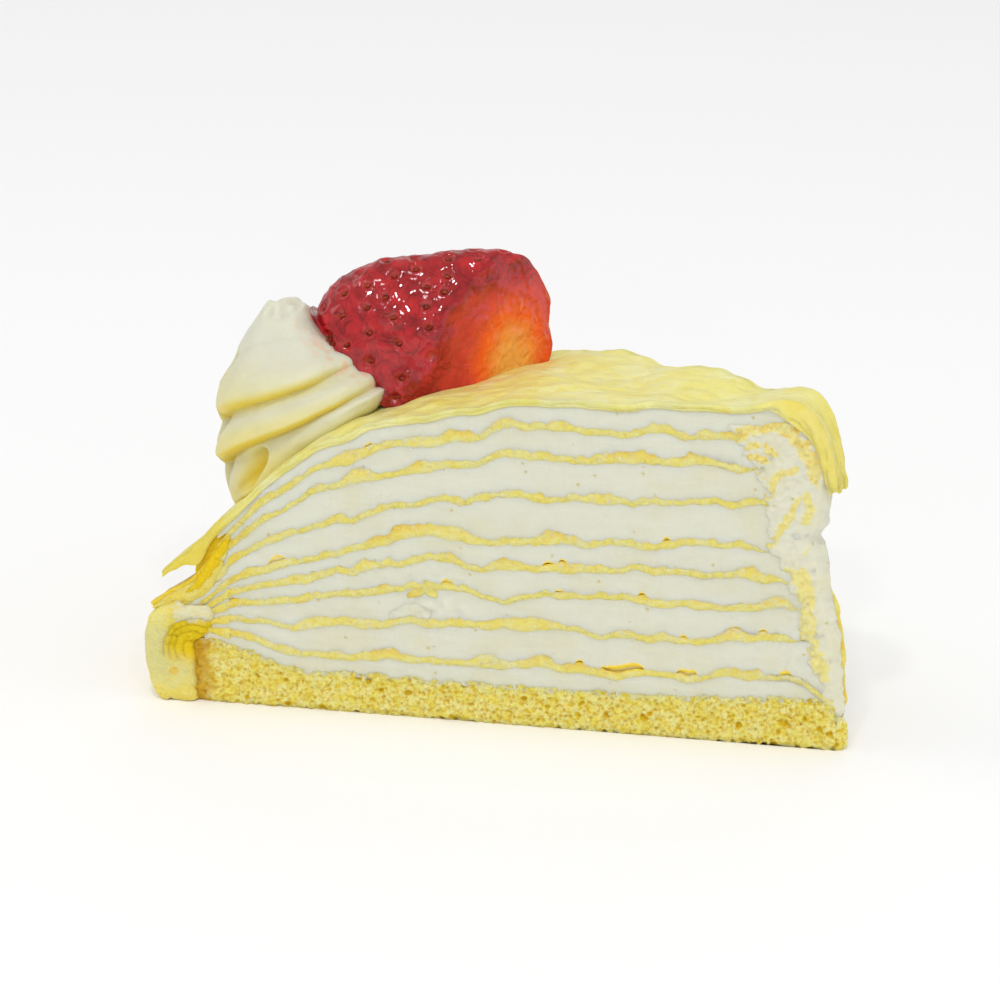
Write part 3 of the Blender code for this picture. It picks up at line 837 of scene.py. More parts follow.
def addRimFold(name, side, seed):
    def creases(s, z):
        # the bunched crepes turn down over the sponge's corner in rings
        reach = math.hypot(s - 93.1, z - 8.2) + 0.35 * ripple(s / 2.2, z / 2.2, seed)
        window = smooth(z, 6.0, 9.2) * (1 - smooth(reach, 4.7, 6.0))
        return window, 0.5 + 0.5 * math.cos(2 * math.pi * reach / 1.05)

    def sheet(u, v):
        z = mix(rimFold["low"], rimFold["high"], v)
        outer = between(rimFold["outer"], z)
        inner = between(rimFold["inner"], z) + 0.15 * ripple(z / 1.3, seed)
        s = mix(outer, inner, smooth(u, 0.06, 1.0) ** 0.85)
        s -= 0.4 * (1 - smooth(u, 0.0, 0.1)) + 0.12 * ripple(z / 3, seed) * (1 - u)
        out = -0.9 + 1.25 * smooth(u, 0.0, 0.18) - 0.85 * smooth(u, 0.8, 1.0) ** 1.5
        out += 0.2 * ripple(u * 3.2, z / 3.4, seed) + 0.1 * ripple(u * 7, z / 1.6, seed + 4)
        window, ring = creases(s, z)
        out -= window * (0.55 * ring - 0.05) + 0.5 * (1 - smooth(s, 90.8, 93.0))
        out -= 0.4 * (1 - smooth(z, 0.2, 1.4)) + 0.5 * smooth(z, 14.0, 15.2)
        return at(s, z, side * cake["halfAngle"], side * out), s, z

    def place(u, v, w):
        here, s, z = sheet(u, v)
        alongRun = sheet(min(u + 0.01, 1), v)[0] - sheet(max(u - 0.01, 0), v)[0]
        upRun = sheet(u, min(v + 0.01, 1))[0] - sheet(u, max(v - 0.01, 0))[0]
        normal = alongRun.cross(upRun).normalized() * side
        window, ring = creases(s, z)
        # painted shade: gold in the ring creases, above the corner and low down; along the recessed edge by the sponge
        # it is partly shade and partly crust
        deep = window * (0.65 + 0.35 * ring) + 0.35 * smooth(z, 5.0, 7.0) * (1 - smooth(s, 96.6, 98.4))
        deep += 0.45 * smooth(u, 0.75, 1.0)
        deep += 0.3 * (1 - smooth(z, 0.5, 3.0))
        spotted = 1 - smooth(math.hypot((s - 96.6) / 0.9, (z - 5.0) / 0.7), 0.6, 1.3)
        spot = here - normal * (1 - w) * rimFold["thickness"]
        spot.z = max(spot.z, 0.05)
        pale = (0.9 + 0.4 * ripple(s / 2.5, z / 3, seed)) * smooth(z, 1.0, 6.0) * (1 - smooth(z, 10.5, 13.0))
        milk = 0.75 * smooth(z, 12.2, 13.4) * (1 - smooth(s, 95.0, 98.0))
        return spot, 1.6 * spotted, min(1.0, deep), min(1.0, pale) * (1 - spotted), milk

    bm = block(90, 130, 2, place, ("mark", "deep", "pale", "milk"))
    addPiece(name, bm, crepeFinish, crease=60)


tipCap = {
    "leg": 18.0,
    "arc": 2.2,
    "low": 3.6,
    "high": 50.2,
    "inward": 1.8,
    # how far along the cut the smear reaches, as (z, s)
    "reach": (
        (5.0, 1.0), (10.0, 1.6), (16.0, 4.4), (22.0, 5.4), (26.0, 6.6), (30.0, 9.8), (38.0, 10.4), (43.0, 13.0),
        (46.0, 15.0), (48.5, 17.0), (50.0, 18.0),
    ),
    # crepe that shows through it, as (path of (s, z), half width, how toasted)
    "traces": (
        (((5.0, 26.4), (3.7, 25.6), (3.0, 22.6), (2.7, 19.0), (2.0, 15.6), (0.4, 11.8)), 1.5, 0.1),
        (((8.6, 25.2), (6.4, 25.9), (5.0, 26.6)), 0.8, 0.2),
        (((6.8, 19.0), (5.2, 18.6), (4.1, 17.4), (3.2, 15.9)), 0.7, 0.5),
        (((7.2, 12.6), (5.4, 12.1), (4.0, 10.8), (2.6, 9.6)), 0.7, 0.6),
        (((3.4, 9.6), (1.6, 8.7), (0.0, 7.6), (-1.1, 6.3)), 0.7, 0.8),
        (((10.6, 30.2), (8.2, 30.7), (7.0, 32.4), (6.4, 34.0), (5.4, 35.0)), 0.7, 0.4),
        (((10.0, 37.4), (8.4, 37.8), (8.3, 39.2), (7.4, 40.8), (5.2, 41.8)), 0.7, 0.3),
        (((5.8, 35.2), (5.0, 36.5), (4.6, 37.6)), 0.6, 0.3),
        (((3.6, 34.2), (3.1, 36.2), (3.4, 38.2)), 0.7, 0.1),
        (((12.6, 43.0), (10.6, 43.5), (9.2, 42.8)), 0.5, 1.0),
        (((12.0, 44.4), (9.8, 45.2), (8.2, 43.8)), 0.6, 1.0),
        (
            ((17.0, 45.4), (14.4, 45.4), (12.0, 47.0), (9.6, 47.9), (6.6, 47.5), (4.4, 45.6), (2.7, 42.8), (1.6, 39.8)),
            1.2, 0.9,
        ),
        (((11.0, 41.6), (9.6, 40.6)), 0.4, 0.6),
        (((2.6, 31.0), (3.6, 29.6)), 0.5, 0.2),
    ),
}


def addTipCap():
    # cream smeared round the tip, over the torn ends of the crepes
    widths = []
    spots = []
    for path, half, toast in tipCap["traces"]:
        length = sum((Vector(b) - Vector(a)).length for a, b in zip(path, path[1:]))
        steps = max(2, round(length / 0.25))
        for n in range(steps + 1):
            spots.append(curveThrough(path, n / steps).to_3d())
            widths.append((half, toast))
    tree = KDTree(len(spots))
    for n, spot in enumerate(spots):
        tree.insert(spot, n)
    tree.balance()

    def place(u, v, w):
        reach = mix(-1, 1, u) * (tipCap["leg"] + tipCap["arc"])
        past = abs(reach) - tipCap["arc"]
        side = math.copysign(1.0, reach)
        phi = side * cake["halfAngle"] * min(1.0, abs(reach) / tipCap["arc"])
        inset = max(0.0, past) + 0.8 * (phi / cake["halfAngle"]) ** 2
        top = inset + along(tipProfile, tipCap["high"])
        high = min(tipCap["high"], mix(60.0, skinHeight(top, phi) - 0.8, smooth(top, 5.0, 7.0)))
        z = mix(tipCap["low"], high, v)
        s = inset + along(tipProfile, z)
        near, found, gap = tree.find(Vector((s, z, 0.0)))
        half, toast = widths[found]
        gap += 0.5 * ripple(s / 1.3, z / 1.3, side, seed=48.0) + 0.3 * ripple(s / 0.5, z / 0.5, side, seed=49.0)
        trace = (1 - smooth(gap / half, 0.55, 1.15)) * smooth(past, -1.0, 1.0)
        cover = 1 - smooth(s - between(tipCap["reach"], z) + 1.3 * ripple(s / 2.2, z / 1.6, side, seed=45.0), -2.2, 0.6)
        lift = mix(-0.5, 0.2, cover) + cover * (
            0.3 * ripple(s / 2.6, z / 2.4, side, seed=46.0) + 0.22 * ripple(s / 0.9, z / 0.8, side, seed=47.0)
        )
        lift += trace * (0.08 + 0.3 * ripple(s / 0.5, z / 0.5, side, seed=49.5))
        ends = smooth(v, 0.0, 0.06) * (1 - smooth(v, 0.96, 1.0))
        lift = mix(-1.0, lift + cutRelief(s, z), ends)
        turn = smooth(past, -1.2, 1.4)
        inner = -tipCap["inward"] * (1 - w)
        radial = (1 - turn) * (lift + inner + 0.4 * ends)
        return at(s - radial, z, phi, side * turn * (lift + inner)), 0.04, trace, toast

    bm = block(240, 200, 2, place, ("mark", "trace", "toast"))
    addPiece("cream_tip_smear", bm, tornFinish)


def addStrand(name, path, width, proud, deep=0.0, toast=0.3, milk=0.0, side=-1, seed=0.0, finish=None):
    # a torn strip lying in a cut, along a path of (s, z)
    length = sum((Vector(b) - Vector(a)).length for a, b in zip(path, path[1:]))

    def place(u, v, w):
        here, ahead = curveThrough(path, max(u - 0.03, 0)), curveThrough(path, min(u + 0.03, 1))
        run = (ahead - here).normalized()
        ragged = 1 + 0.5 * ripple(u * length / 1.1, seed, v) + 0.3 * ripple(u * length / 0.5, seed, v * 2)
        if isinstance(width, tuple):
            half = 0.5 * between(width, u) * mix(1.0, ragged, 0.3)
        else:
            half = 0.5 * width * ragged * math.sin(math.pi * min(max(u, 0.01), 0.99)) ** 0.4
        spot = curveThrough(path, u) + Vector((-run.y, run.x)) * (2 * v - 1) * half
        swell = math.sqrt(max(0.0, 1 - (2 * v - 1) ** 2))
        out = proud * swell * (1 + 0.6 * ripple(spot.x / 0.9, spot.y / 0.9, seed)) + cutRelief(spot.x, spot.y)
        out = mix(-0.6, out, w)
        place = at(spot.x, spot.y, side * cake["halfAngle"], side * out)
        return (place, 0.04) if finish else (place, toast * (1 + 0.7 * w * swell), deep, milk + 0.3 * (1 - swell))

    bm = block(max(10, round(length / 0.22)), 10, 2, place, ("mark",) if finish else ("mark", "deep", "milk"))
    addPiece(name, bm, finish or crepeFinish, crease=60)


strands = {
    # path, width (or widths along it), how proud it stands, how much painted gold shade, how toasted, how creamy
    "crepe_bit_1": (((50.0, 8.9), (48.0, 9.2), (46.6, 8.8)), 1.1, 0.2, 0.0, 1.0, 0.3),
    "crepe_bit_2": (((61.0, 18.8), (58.6, 20.0), (56.4, 19.2)), 1.4, 0.12, 0.0, 0.9, 0.2),
    "crepe_fin_low": (
        ((88.9, 22.4), (91.0, 19.6), (93.1, 17.5), (95.5, 16.5), (97.9, 15.4), (99.8, 14.4)),
        ((0.0, 0.6), (0.25, 2.8), (0.5, 2.9), (0.7, 2.0), (0.85, 1.1), (1.0, 0.2)), 0.35, 0.35, 0.0, 0.1,
    ),
    "crepe_fin_shade": (
        ((87.6, 26.4), (89.2, 23.6), (91.0, 20.8), (92.9, 18.2), (94.6, 17.2)),
        ((0.0, 0.3), (0.3, 2.0), (0.6, 1.8), (1.0, 0.2)), 0.5, 1.0, 0.0, 0.0,
    ),
}
creamSmears = {
    "cream_smear_1": (((63.5, 15.6), (60.5, 16.8), (57.5, 16.2)), 2.0, 0.2),
    "cream_smear_2": (
        ((96.6, 14.5), (94.5, 15.2), (92.5, 16.0), (90.6, 17.4), (89.2, 19.2)),
        ((0.0, 0.2), (0.3, 1.1), (0.6, 1.7), (0.85, 1.2), (1.0, 0.3)), 0.1,
    ),
}


def addFarFlap():
    # the browner end of a crepe that hangs behind the tip
    def place(u, v, w):
        z = mix(5.6, 24.5, u)
        phi = mix(0.1, 1.0, v) * cake["halfAngle"]
        s = along(tipProfile, z) + 0.1 + 0.3 * ripple(z / 2.4, phi * 8, seed=50.0) - 0.35 * v
        s += 1.2 * smooth(u, 0.75, 1.0) + 0.5 * (1 - smooth(u, 0.0, 0.1))
        out = 0.5 * v + 0.25 * ripple(z / 3, seed=51.0)
        return at(s + (0.7 if w else 0.0), z, phi, out), 1.0, 0.1 + 0.2 * smooth(ripple(z / 2, phi * 6), -0.2, 0.3)

    bm = block(70, 12, 1, place, ("mark", "deep"))
    addPiece("crepe_tip_back", bm, crepeFinish, crease=60)


addSponge()
for layerNumber in range(1, len(cake["shares"]) + 2):
    addCream(layerNumber)
for layerNumber in range(1, len(cake["shares"]) + 1):
    addCrepe(layerNumber)
print("layers made")
addFan()
addRimFold("crepe_corner_near", -1, 60.0)
addRimFold("crepe_corner_far", 1, 67.0)
addTipCap()
addFarFlap()
for strandSeed, (strandName, (path, width, proud, deep, toast, milk)) in enumerate(strands.items()):
    addStrand(strandName, path, width, proud, deep, toast, milk, seed=strandSeed * 3.7)
for smearSeed, (smearName, (path, width, proud)) in enumerate(creamSmears.items()):
    addStrand(smearName, path, width, proud, seed=smearSeed * 5.1, finish=creamFinish)
print("edges and tip made")


# ---------- the top crepe ----------


def topMiddle(u, phi):
    # middle of the top crepe in (s, z), u from 0 at the tip's hem to 1 at the flared edge
    spot = curveThrough(topPoints, u)
    spot.y += topFolds(spot.x, phi)
    hang = 1 - smooth(u, 0.0, 0.16)
    spot.x += 0.4 * hang * ripple(phi * 8, spot.y / 3, seed=14.0)
    spot.y += 0.8 * (1 - smooth(u, 0.0, 0.05)) * ripple(phi * 14, seed=14.5)
    flare = smooth(spot.x, 91, 98)
    spread = 1 - smooth(-phi, 0.15, cake["halfAngle"])
    spot += Vector((-0.8, 0.9)) * flare * spread * math.sin(8 * phi)
    spot += Vector((-0.9, 0.7)) * flare * ripple(phi * 20, u * 9, seed=15.0)
    return spot


def topSheet(u, v):
    # the sheet's middle in space: its rows past the cuts turn down over them
    rows = topCrepe["across"] + 2 * topCrepe["turnRows"]
    row = v * rows - topCrepe["turnRows"]
    half = cake["halfAngle"]
    phi = min(half, max(-half, mix(-half, half, row / topCrepe["across"])))
    spot = topMiddle(u, phi)
    past = max(-row, row - topCrepe["across"], 0) / topCrepe["turnRows"]
    side = -1 if row < 0 else 1
    if not past:
        return at(spot.x, spot.y, phi)
    share = u * (len(topPoints) - 1) / (len(topCrepe["flapEnd"]) - 1)
    droop = 0.2 + 0.7 * max(0.0, ripple(spot.x / 3.5, side, seed=16.0))
    droop += 0.7 * smooth(spot.x, 82, 90) * (1 + 0.5 * ripple(spot.x / 2.2, side, seed=16.2))
    droop += 2.1 * math.exp(-(((spot.x - 92.4) / 1.9) ** 2))
    lip = spot + Vector((0.15 * ripple(spot.x, seed=16.5), -droop))
    if share < 1:
        end = curveThrough(topCrepe["flapEnd"], share)
        if side > 0:
            end = spot.lerp(end, 0.6)
        end += Vector((0.35, 0.35)) * ripple(share * 9, seed=17.0)
        lip = end.lerp(lip, smooth(share, 0.82, 1.0))
    out = mix(0.35, -0.2, smooth(share, 0.75, 1.1)) * math.sin(math.pi / 2 * min(1.0, past * 2.2))
    out += 0.35 * smooth(spot.x, 82, 88)
    out += 0.6 * ripple(spot.x / 1.6, past * 4, seed=18.0) * past * (1 - smooth(share, 0.8, 1.0))
    place = spot.lerp(lip, past)
    return at(place.x, place.y, phi, side * (out + cutRelief(place.x, place.y) * past))


def addTopCrepe():
    across = topCrepe["across"] + 2 * topCrepe["turnRows"]
    step = 0.002

    def place(u, v, w):
        here = topSheet(u, v)
        alongRun = topSheet(min(u + step, 1), v) - topSheet(max(u - step, 0), v)
        acrossRun = topSheet(u, min(v + step, 1)) - topSheet(u, max(v - step, 0))
        normal = acrossRun.cross(alongRun).normalized()
        if normal.length < 0.5:
            normal = Vector((0, 0, 1))
        radius = math.hypot(axisX - here.x, here.y) - cake["tipCut"]
        thick = mix(topCrepe["thickness"], topCrepe["edge"], smooth(radius, 84, 96))
        hem = min(u, 1 - u) * 60
        thick *= 0.4 + 0.6 * smooth(hem, 0.0, 1.0)
        end = min(v, 1 - v) * across
        thick *= 0.25 + 0.75 * smooth(end, 0.0, 5.0)
        here += Vector((0, 0, 1)) * 0.12 * ripple(*(here / 1.6), seed=19.0) * w
        fold = ripple(*(here / 3.2), seed=19.0)
        # painted shade: gold towards the flared rim, on the flap over the near cut and on the drape at the tip, with a
        # little at random
        deep = smooth(fold, 0.1, 0.6) * 0.15 + 0.75 * smooth(radius, 85, 91)
        nearFlap = smooth(topCrepe["turnRows"] - v * across, -14, 2) * (1 - smooth(radius, 5, 10))
        deep += 0.5 * max(nearFlap, 1 - smooth(radius, -0.5, 3.0))
        return here + normal * (w - 0.5) * thick, min(1.0, deep)

    bm = block(topCrepe["along"], across, 2, place, ("deep",))
    addPiece("top_crepe", bm, topFinish, "crepe_top", crease=60)


def topSurface(x, y):
    # height of the top crepe's upper side over a point
    s = math.hypot(axisX - x, y) - cake["tipCut"]
    phi = math.atan2(y, axisX - x)
    slope = (skinHeight(s + 0.4, phi) - skinHeight(s - 0.4, phi)) / 0.8
    return skinHeight(s, phi) + topCrepe["thickness"] / 2 * math.sqrt(1 + min(slope * slope, 8.0))


addTopCrepe()
print("top crepe made")


# ---------- the strawberry ----------

berry = {
    "radius": 67.0,
    "turn": math.radians(-1.7),
    "height": 49.9,
    "halfLength": 18.9,
    "halfDepth": 8.0,
    "up": 15.9,
    "down": 9.3,
    "yaw": math.radians(29.7),
    "roll": math.radians(6.3),
    "bluntness": 3.1,
    "boxiness": 4.0,
    "cutYaw": math.radians(40.5),
    "cutPitch": math.radians(-8),
    "cutOffset": 5.1,
    "seedGap": 2.9,
    "pitRadius": 0.95,
    "pitDepth": 0.5,
}
berryTurn = Matrix.Rotation(berry["yaw"], 3, "Z") @ Matrix.Rotation(-berry["roll"], 3, "Y")
berryCentre = at(berry["radius"] - cake["tipCut"], berry["height"], berry["turn"])
cutLevel = math.cos(berry["cutPitch"])
cutNormal = Vector((
    math.sin(berry["cutYaw"]) * cutLevel, -math.cos(berry["cutYaw"]) * cutLevel, math.sin(berry["cutPitch"])
))


def berryForm(point):
    # a point of the unit sphere, its poles on X, goes to the fruit's skin
    size = math.hypot(point.y, point.z)
    if size < 1e-6:
        return Vector((point.x * berry["halfLength"], 0.0, 0.0))
    y, z = point.y / size, point.z / size
    girth = (1 - min(1.0, abs(point.x)) ** berry["bluntness"]) ** (1 / berry["bluntness"])
    if z < 0:
        girth /= (abs(y) ** berry["boxiness"] + abs(z) ** berry["boxiness"]) ** (1 / berry["boxiness"])
    x = point.x * berry["halfLength"]
    height = max(z * girth * (berry["up"] if z > 0 else berry["down"]), -berry["down"] + 1.5 * max(-6.3 - x, 0.0))
    return Vector((x, y * girth * berry["halfDepth"], height))


def outwardAt(skin):
    return Vector((skin.x / 18**2, skin.y / 8**2, skin.z / 13**2)).normalized()


def seedSpots():
    # staggered rings of seeds round the fruit, on the unit sphere
    random.seed(5)
    spots = []
    rings = 13
    for ring in range(2, rings - 1):
        tilt = math.pi * ring / rings
        count = max(3, round(2 * math.pi * math.sin(tilt) * 11 / berry["seedGap"]))
        for n in range(count):
            turn = 2 * math.pi * (n + 0.5 * (ring % 2) + random.uniform(-0.18, 0.18)) / count
            lean = tilt + random.uniform(-0.06, 0.06)
            spots.append(Vector((math.cos(lean), math.sin(lean) * math.cos(turn), math.sin(lean) * math.sin(turn))))
    return spots


def addBerry():
    spots = [berryForm(spot) for spot in seedSpots()]
    seeds = [spot for spot in spots if spot.dot(cutNormal) < berry["cutOffset"] - 0.4]
    tree = KDTree(len(seeds))
    for n, seed in enumerate(seeds):
        tree.insert(seed, n)
    tree.balance()
    bm = bmesh.new()
    names = ("flesh", "heart", "pit", "fibre")
    marks = [bm.verts.layers.float.new(name) for name in names]
    bmesh.ops.create_uvsphere(bm, u_segments=280, v_segments=200, radius=1.0)
    bmesh.ops.rotate(bm, verts=bm.verts, matrix=Matrix.Rotation(math.pi / 2, 3, "Y"))
    # the middle of the cut face, and two ways across it
    middle = Vector((9.5, 2.0, -2.6))
    side = cutNormal.cross(Vector((0, 0, 1))).normalized()
    rise = side.cross(cutNormal).normalized()
    for vert in bm.verts:
        skin = berryForm(vert.co)
        over = skin.dot(cutNormal) - berry["cutOffset"]
        outward = outwardAt(skin)
        near = tree.find(skin)[2]
        pit = 1 - smooth(near, 0.3, berry["pitRadius"])
        rim = math.exp(-(((near - 1.2) / 0.35) ** 2))
        spot = skin - outward * (berry["pitDepth"] * pit - 0.12 * rim)
        spot += outward * (0.45 * ripple(*(skin / 3.6), seed=21.0) + 0.09 * ripple(*(skin / 1.4), seed=22.0))
        if over > -2.5:
            # the cut is flat in the middle and rounded towards the skin
            level = spot.dot(cutNormal) - berry["cutOffset"]
            soft = 1.3
            flat = min(level, 0.0) - soft * math.exp(-abs(level) / soft) * 0.5
            dish = 0.25 * ripple(*(skin / 3.0), seed=23.0) + 0.1 * ripple(*(skin / 1.0), seed=24.0)
            spot += cutNormal * (flat - level + dish * smooth(over, 0.0, 1.5))
        off = spot - middle
        across, up = off.dot(side), off.dot(rise)
        patchy = ripple(*(spot / 2.2), seed=25.0)
        flesh = smooth(over + 1.2 * patchy, 0.0, 2.4) * (1 - smooth(spot.z + 1.5 * patchy, 8.6, 12.6))
        reach = math.hypot(across / 10.5, up / (13.5 if up > 0 else 9.0))
        values = (flesh, max(0.0, 1 - reach), pit * (1 - flesh), 3 * math.atan2(up, across))
        for layer, value in zip(marks, values):
            vert[layer] = value
        place = berryTurn @ spot + berryCentre
        floor = topSurface(place.x, place.y)
        if place.z < floor + 3:
            place.z = max(place.z, floor - 0.15)
        vert.co = place
    addPiece("strawberry_cut", bm, berryFinish, "strawberry", crease=0)
    addSeeds([seed for seed in seeds if seed.dot(cutNormal) < berry["cutOffset"] - 0.9])


def addSeeds(seeds):
    bm = bmesh.new()
    for n, seed in enumerate(seeds):
        outward = outwardAt(seed)
        made = bmesh.ops.create_uvsphere(bm, u_segments=10, v_segments=7, radius=1.0)["verts"]
        toTip = Vector((-1, 0, 0))
        alongSkin = (toTip - outward * toTip.dot(outward)).normalized()
        lie = Matrix((alongSkin, outward.cross(alongSkin), outward)).transposed().to_4x4()
        size = 1 + 0.3 * ripple(n * 1.7, seed=3.0)
        shape = Matrix.Diagonal((0.56 * size, 0.35 * size, 0.2, 1))
        spot = seed + outward * (0.45 * ripple(*(seed / 3.6), seed=21.0) + 0.09 * ripple(*(seed / 1.4), seed=22.0))
        move = Matrix.Translation(berryTurn @ (spot - outward * 0.42) + berryCentre)
        bmesh.ops.transform(bm, matrix=move @ berryTurn.to_4x4() @ lie @ shape, verts=made)
    addPiece("strawberry_seeds", bm, seedFinish, crease=0, check=False)


def insideBerry(point, grown):
    local = berryTurn.transposed() @ (point - berryCentre)
    if local.z < -berry["down"] + 1.5 * max(-6.3 - local.x, 0.0) - grown * 1.6:
        return False
    x = abs(local.x) / (berry["halfLength"] + grown)
    y = abs(local.y) / (berry["halfDepth"] + grown)
    if local.z > 0:
        girth = math.hypot(y, local.z / (berry["up"] + grown))
    else:
        z = -local.z / (berry["down"] + grown)
        girth = (y ** berry["boxiness"] + z ** berry["boxiness"]) ** (1 / berry["boxiness"])
    return x ** berry["bluntness"] + girth ** berry["bluntness"] < 1


addBerry()
print("strawberry made")


# ---------- the piped swirl ----------

swirl = {
    "radius": 86.0,
    "turn": math.radians(-7),
    # radius and height of the swirl's outline, before it leans with the slope
    "outline": (
        (0.0, 28.0), (8.0, 28.5), (9.8, 31.0), (11.4, 34.6), (12.2, 37.0), (12.6, 39.0), (13.4, 40.6), (13.2, 43.8),
        (13.2, 46.6), (12.3, 49.0), (10.0, 51.1), (8.0, 52.8), (6.0, 54.6), (4.2, 56.4), (2.4, 57.9), (0.0, 58.4),
    ),
    # lean in degrees and number of coils from the foot, at a height
    "lean": ((28.0, 36.0), (39.6, 27.0), (43.8, 22.0), (51.0, 14.0), (59.0, 7.0)),
    "coils": ((22.0, -1.0), (30.5, 0.0), (38.9, 1.0), (44.4, 2.0), (51.8, 3.0), (60.0, 4.0)),
    "depth": ((28.0, 1.2), (39.6, 2.5), (44.0, 2.6), (50.0, 1.0), (56.0, 0.3)),
    "handAngle": math.radians(-150.3),
}


def addSwirl():
    foot = at(swirl["radius"] - cake["tipCut"], 0.0, swirl["turn"])
    out = Vector((-math.cos(swirl["turn"]), math.sin(swirl["turn"]), 0.0))
    left = Vector((math.cos(swirl["handAngle"]), math.sin(swirl["handAngle"]), 0.0))
    bm = bmesh.new()
    hollowShadeMark = bm.verts.layers.float.new("hollow")
    stainMark = bm.verts.layers.float.new("stain")
    bmesh.ops.create_uvsphere(bm, u_segments=260, v_segments=230, radius=1.0)
    for vert in bm.verts:
        rise = math.acos(max(-1.0, min(1.0, -vert.co.z))) / math.pi
        angle = math.atan2(vert.co.y, vert.co.x)
        around = Vector((math.cos(angle), math.sin(angle), 0.0))
        radius, height = curveThrough(swirl["outline"], rise)
        share = (angle - swirl["handAngle"]) / (2 * math.pi) % 1.0
        waver = 0.5 * ripple(*(around * 1.3), seed=34.0)
        coil = (between(swirl["coils"], height + waver) - share) % 1.0
        # each coil sags: full near its foot, sloping in above
        swell = math.sin(math.pi / 2 * coil / 0.28) if coil < 0.28 else math.cos(math.pi / 2 * (coil - 0.28) / 0.72)
        swell = max(0.0, swell) ** 0.8
        depth = between(swirl["depth"], height) * smooth(radius, 0.5, 4.0)
        depth *= 1 - 0.75 * smooth(share, 0.24, 0.42)
        radius -= depth * (1 - swell)
        # a fold in the lowest coil, with a curled lip under it
        bent = share + 0.02 * ((height - 37.5) / 2.3) ** 2
        fold = smooth(bent, 0.09, 0.165) * (1 - smooth(bent, 0.168, 0.184)) * math.exp(-(((height - 36.8) / 2.3) ** 4))
        lip = math.exp(-(((share - 0.15) / 0.06) ** 2) - ((height - 33.6) / 0.7) ** 2)
        radius += 1.1 * lip - 2.6 * fold
        # the lowest coil runs on under the fruit's end, and the next stops short of it
        frontRight = math.exp(-(((share - 0.35) / 0.1) ** 2))
        radius += 1.0 * frontRight * smooth(height, 35, 38) * (1 - smooth(height, 43.5, 46.0))
        radius += 2.2 * frontRight * (1 - smooth(height, 39.0, 42.2))
        radius -= 1.0 * frontRight * smooth(height, 44.5, 47.0) * (1 - smooth(height, 50, 53))
        lean = math.tan(math.radians(between(swirl["lean"], height)))
        spot = around * max(radius, 0.0)
        spot.z = height - lean * spot.dot(out)
        spot += left * (0.9 + 3.0 * smooth(height, 47, 58))
        spot += foot
        ragged = smooth(height, 55.5, 57.5)
        spot += around * (0.5 * ripple(*(spot / 4.5), seed=31.0) + (0.1 + 0.4 * ragged) * ripple(*(spot / 1.6), seed=32.0))
        spot.z += 0.8 * ragged * ripple(*(spot / 1.7), seed=33.0)
        for _ in range(60):
            if not insideBerry(spot, -0.5):
                break
            spot = spot.lerp(Vector((foot.x, foot.y, spot.z)), 0.04)
        near = 1 if insideBerry(spot, 1.0) else 0.7 if insideBerry(spot, 2.2) else 0.3 if insideBerry(spot, 3.4) else 0
        vert[stainMark] = near * smooth(spot.z, 46, 50)
        # painted shade: yellow under each coil and in its crease, less on the lit shelf, more low down and in the fold
        warmShade = smooth(depth, 0.5, 2.0) * (0.85 * (1 - smooth(coil, 0.0, 0.34)) + 0.3 * smooth(coil, 0.85, 1.0))
        shelf = smooth(coil, 0.35, 0.8) * (1 - smooth(height, 44, 46))
        warmShade += 0.42 * (1 - smooth(spot.z, 42, 54)) * (1 - 0.8 * shelf)
        vert[hollowShadeMark] = min(1.0, warmShade + 0.7 * fold + 0.2 * (1 - smooth(spot.z, 34, 46)))
        spot.z = max(spot.z, topSurface(spot.x, spot.y) - 0.5)
        vert.co = spot
    addPiece("cream_swirl_piped", bm, swirlFinish, "cream_swirl", crease=0)


addSwirl()
print("swirl made")


# ---------- floor, light and camera ----------

stage = {
    "azimuth": math.radians(29.7),
    "elevation": math.radians(18),
    "distance": 420.0,
    "lens": 105,
    "target": (-51.1, -13.56, 33.6),  # from the cake's axis
    "floor": (0.97, 0.97, 0.97),
}


def aim(thing, place, target):
    thing.location = place * mm
    thing.rotation_euler = (target - place).to_track_quat("-Z", "Y").to_euler()


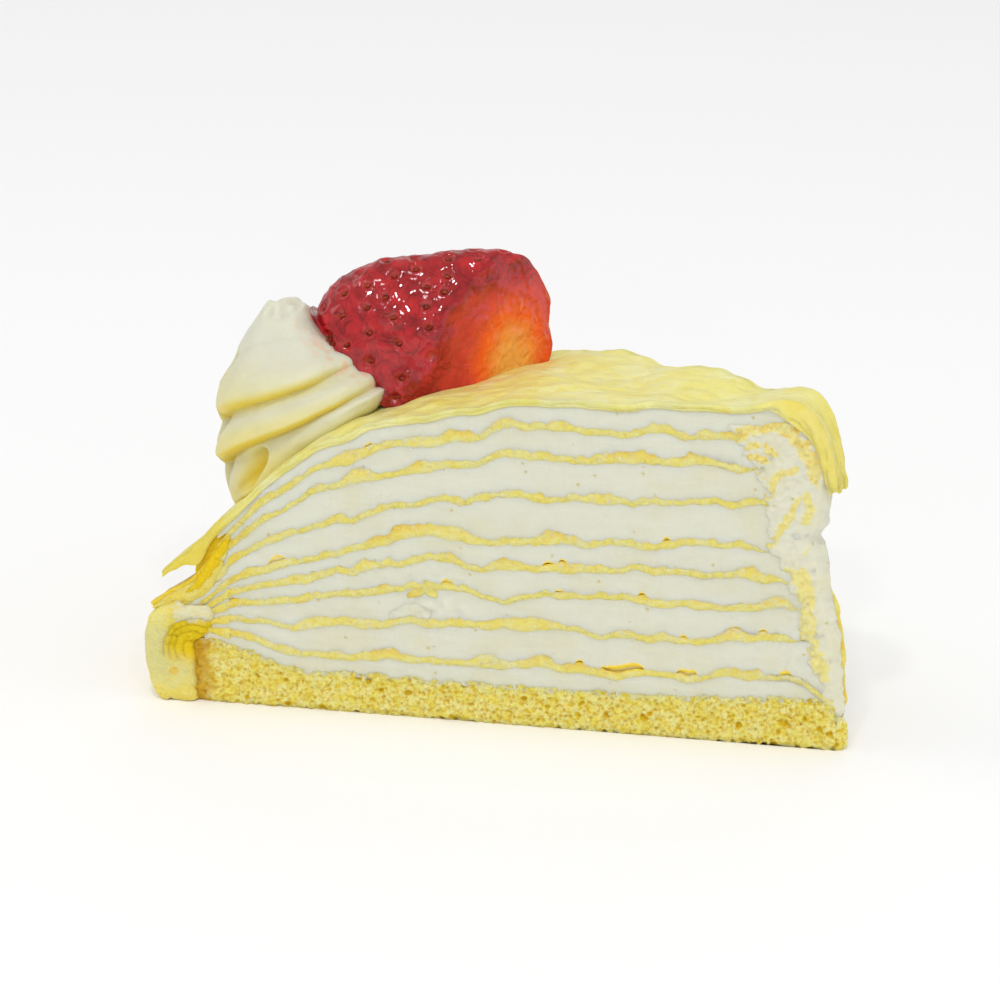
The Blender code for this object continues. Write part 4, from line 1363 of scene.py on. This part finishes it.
def addLight(name, direction, distance, size, power, colour=(1, 1, 1)):
    light = bpy.data.lights.new(name, "AREA")
    light.shape = "DISK"
    light.size = size * mm
    light.energy = power
    light.color = colour
    lamp = bpy.data.objects.new(name, light)
    bpy.context.scene.collection.objects.link(lamp)
    aim(lamp, Vector(direction).normalized() * distance, Vector((0, 0, 25)))


def addStage():
    bm = bmesh.new()
    bmesh.ops.create_grid(bm, x_segments=1, y_segments=1, size=3.0)
    mesh = bpy.data.meshes.new("floor")
    bm.to_mesh(mesh)
    bm.free()
    finish = Finish("floor", Roughness=0.9, Specular_IOR_Level=0.1, Base_Color=(*stage["floor"], 1))
    mesh.materials.append(finish.material)
    floor = bpy.data.objects.new("floor", mesh)
    bpy.context.scene.collection.objects.link(floor)
    world = bpy.data.worlds.new("studio")
    world.use_nodes = True
    world.node_tree.nodes["Background"].inputs["Color"].default_value = (1, 1, 1, 1)
    world.node_tree.nodes["Background"].inputs["Strength"].default_value = 0.64
    bpy.context.scene.world = world
    addLight("key", (0.35, -0.75, 1.5), 2200, 220, 8.0)
    addLight("glintHigh", (0.1, -0.85, 1.1), 2200, 160, 4.2)
    addLight("glintMiddle", (0.3, -0.9, 0.62), 2200, 140, 3.4)
    addLight("glintLow", (0.5, -0.85, 0.2), 2200, 90, 1.6)
    addLight("glintRight", (0.8, -0.75, 0.95), 2200, 110, 2.2)
    addLight("left", (-1.0, -0.3, 0.9), 2200, 1100, 3.6)
    addLight("right", (1.0, 0.1, 0.6), 2200, 1100, 2.0)
    addLight("back", (-0.3, 0.9, 0.8), 2200, 1400, 2.6)


def addCamera():
    target = Vector(stage["target"]) + Vector((axisX, 0, 0))
    level = math.cos(stage["elevation"])
    toCamera = Vector((
        math.sin(stage["azimuth"]) * level, -math.cos(stage["azimuth"]) * level, math.sin(stage["elevation"])
    ))
    data = bpy.data.cameras.new("camera")
    data.lens = stage["lens"]
    data.sensor_width = 36
    camera = bpy.data.objects.new("camera", data)
    bpy.context.scene.collection.objects.link(camera)
    aim(camera, target + toCamera * stage["distance"], target)
    bpy.context.scene.camera = camera


addStage()
addCamera()
bpy.context.scene.view_settings.view_transform = "Standard"
print("stage made")
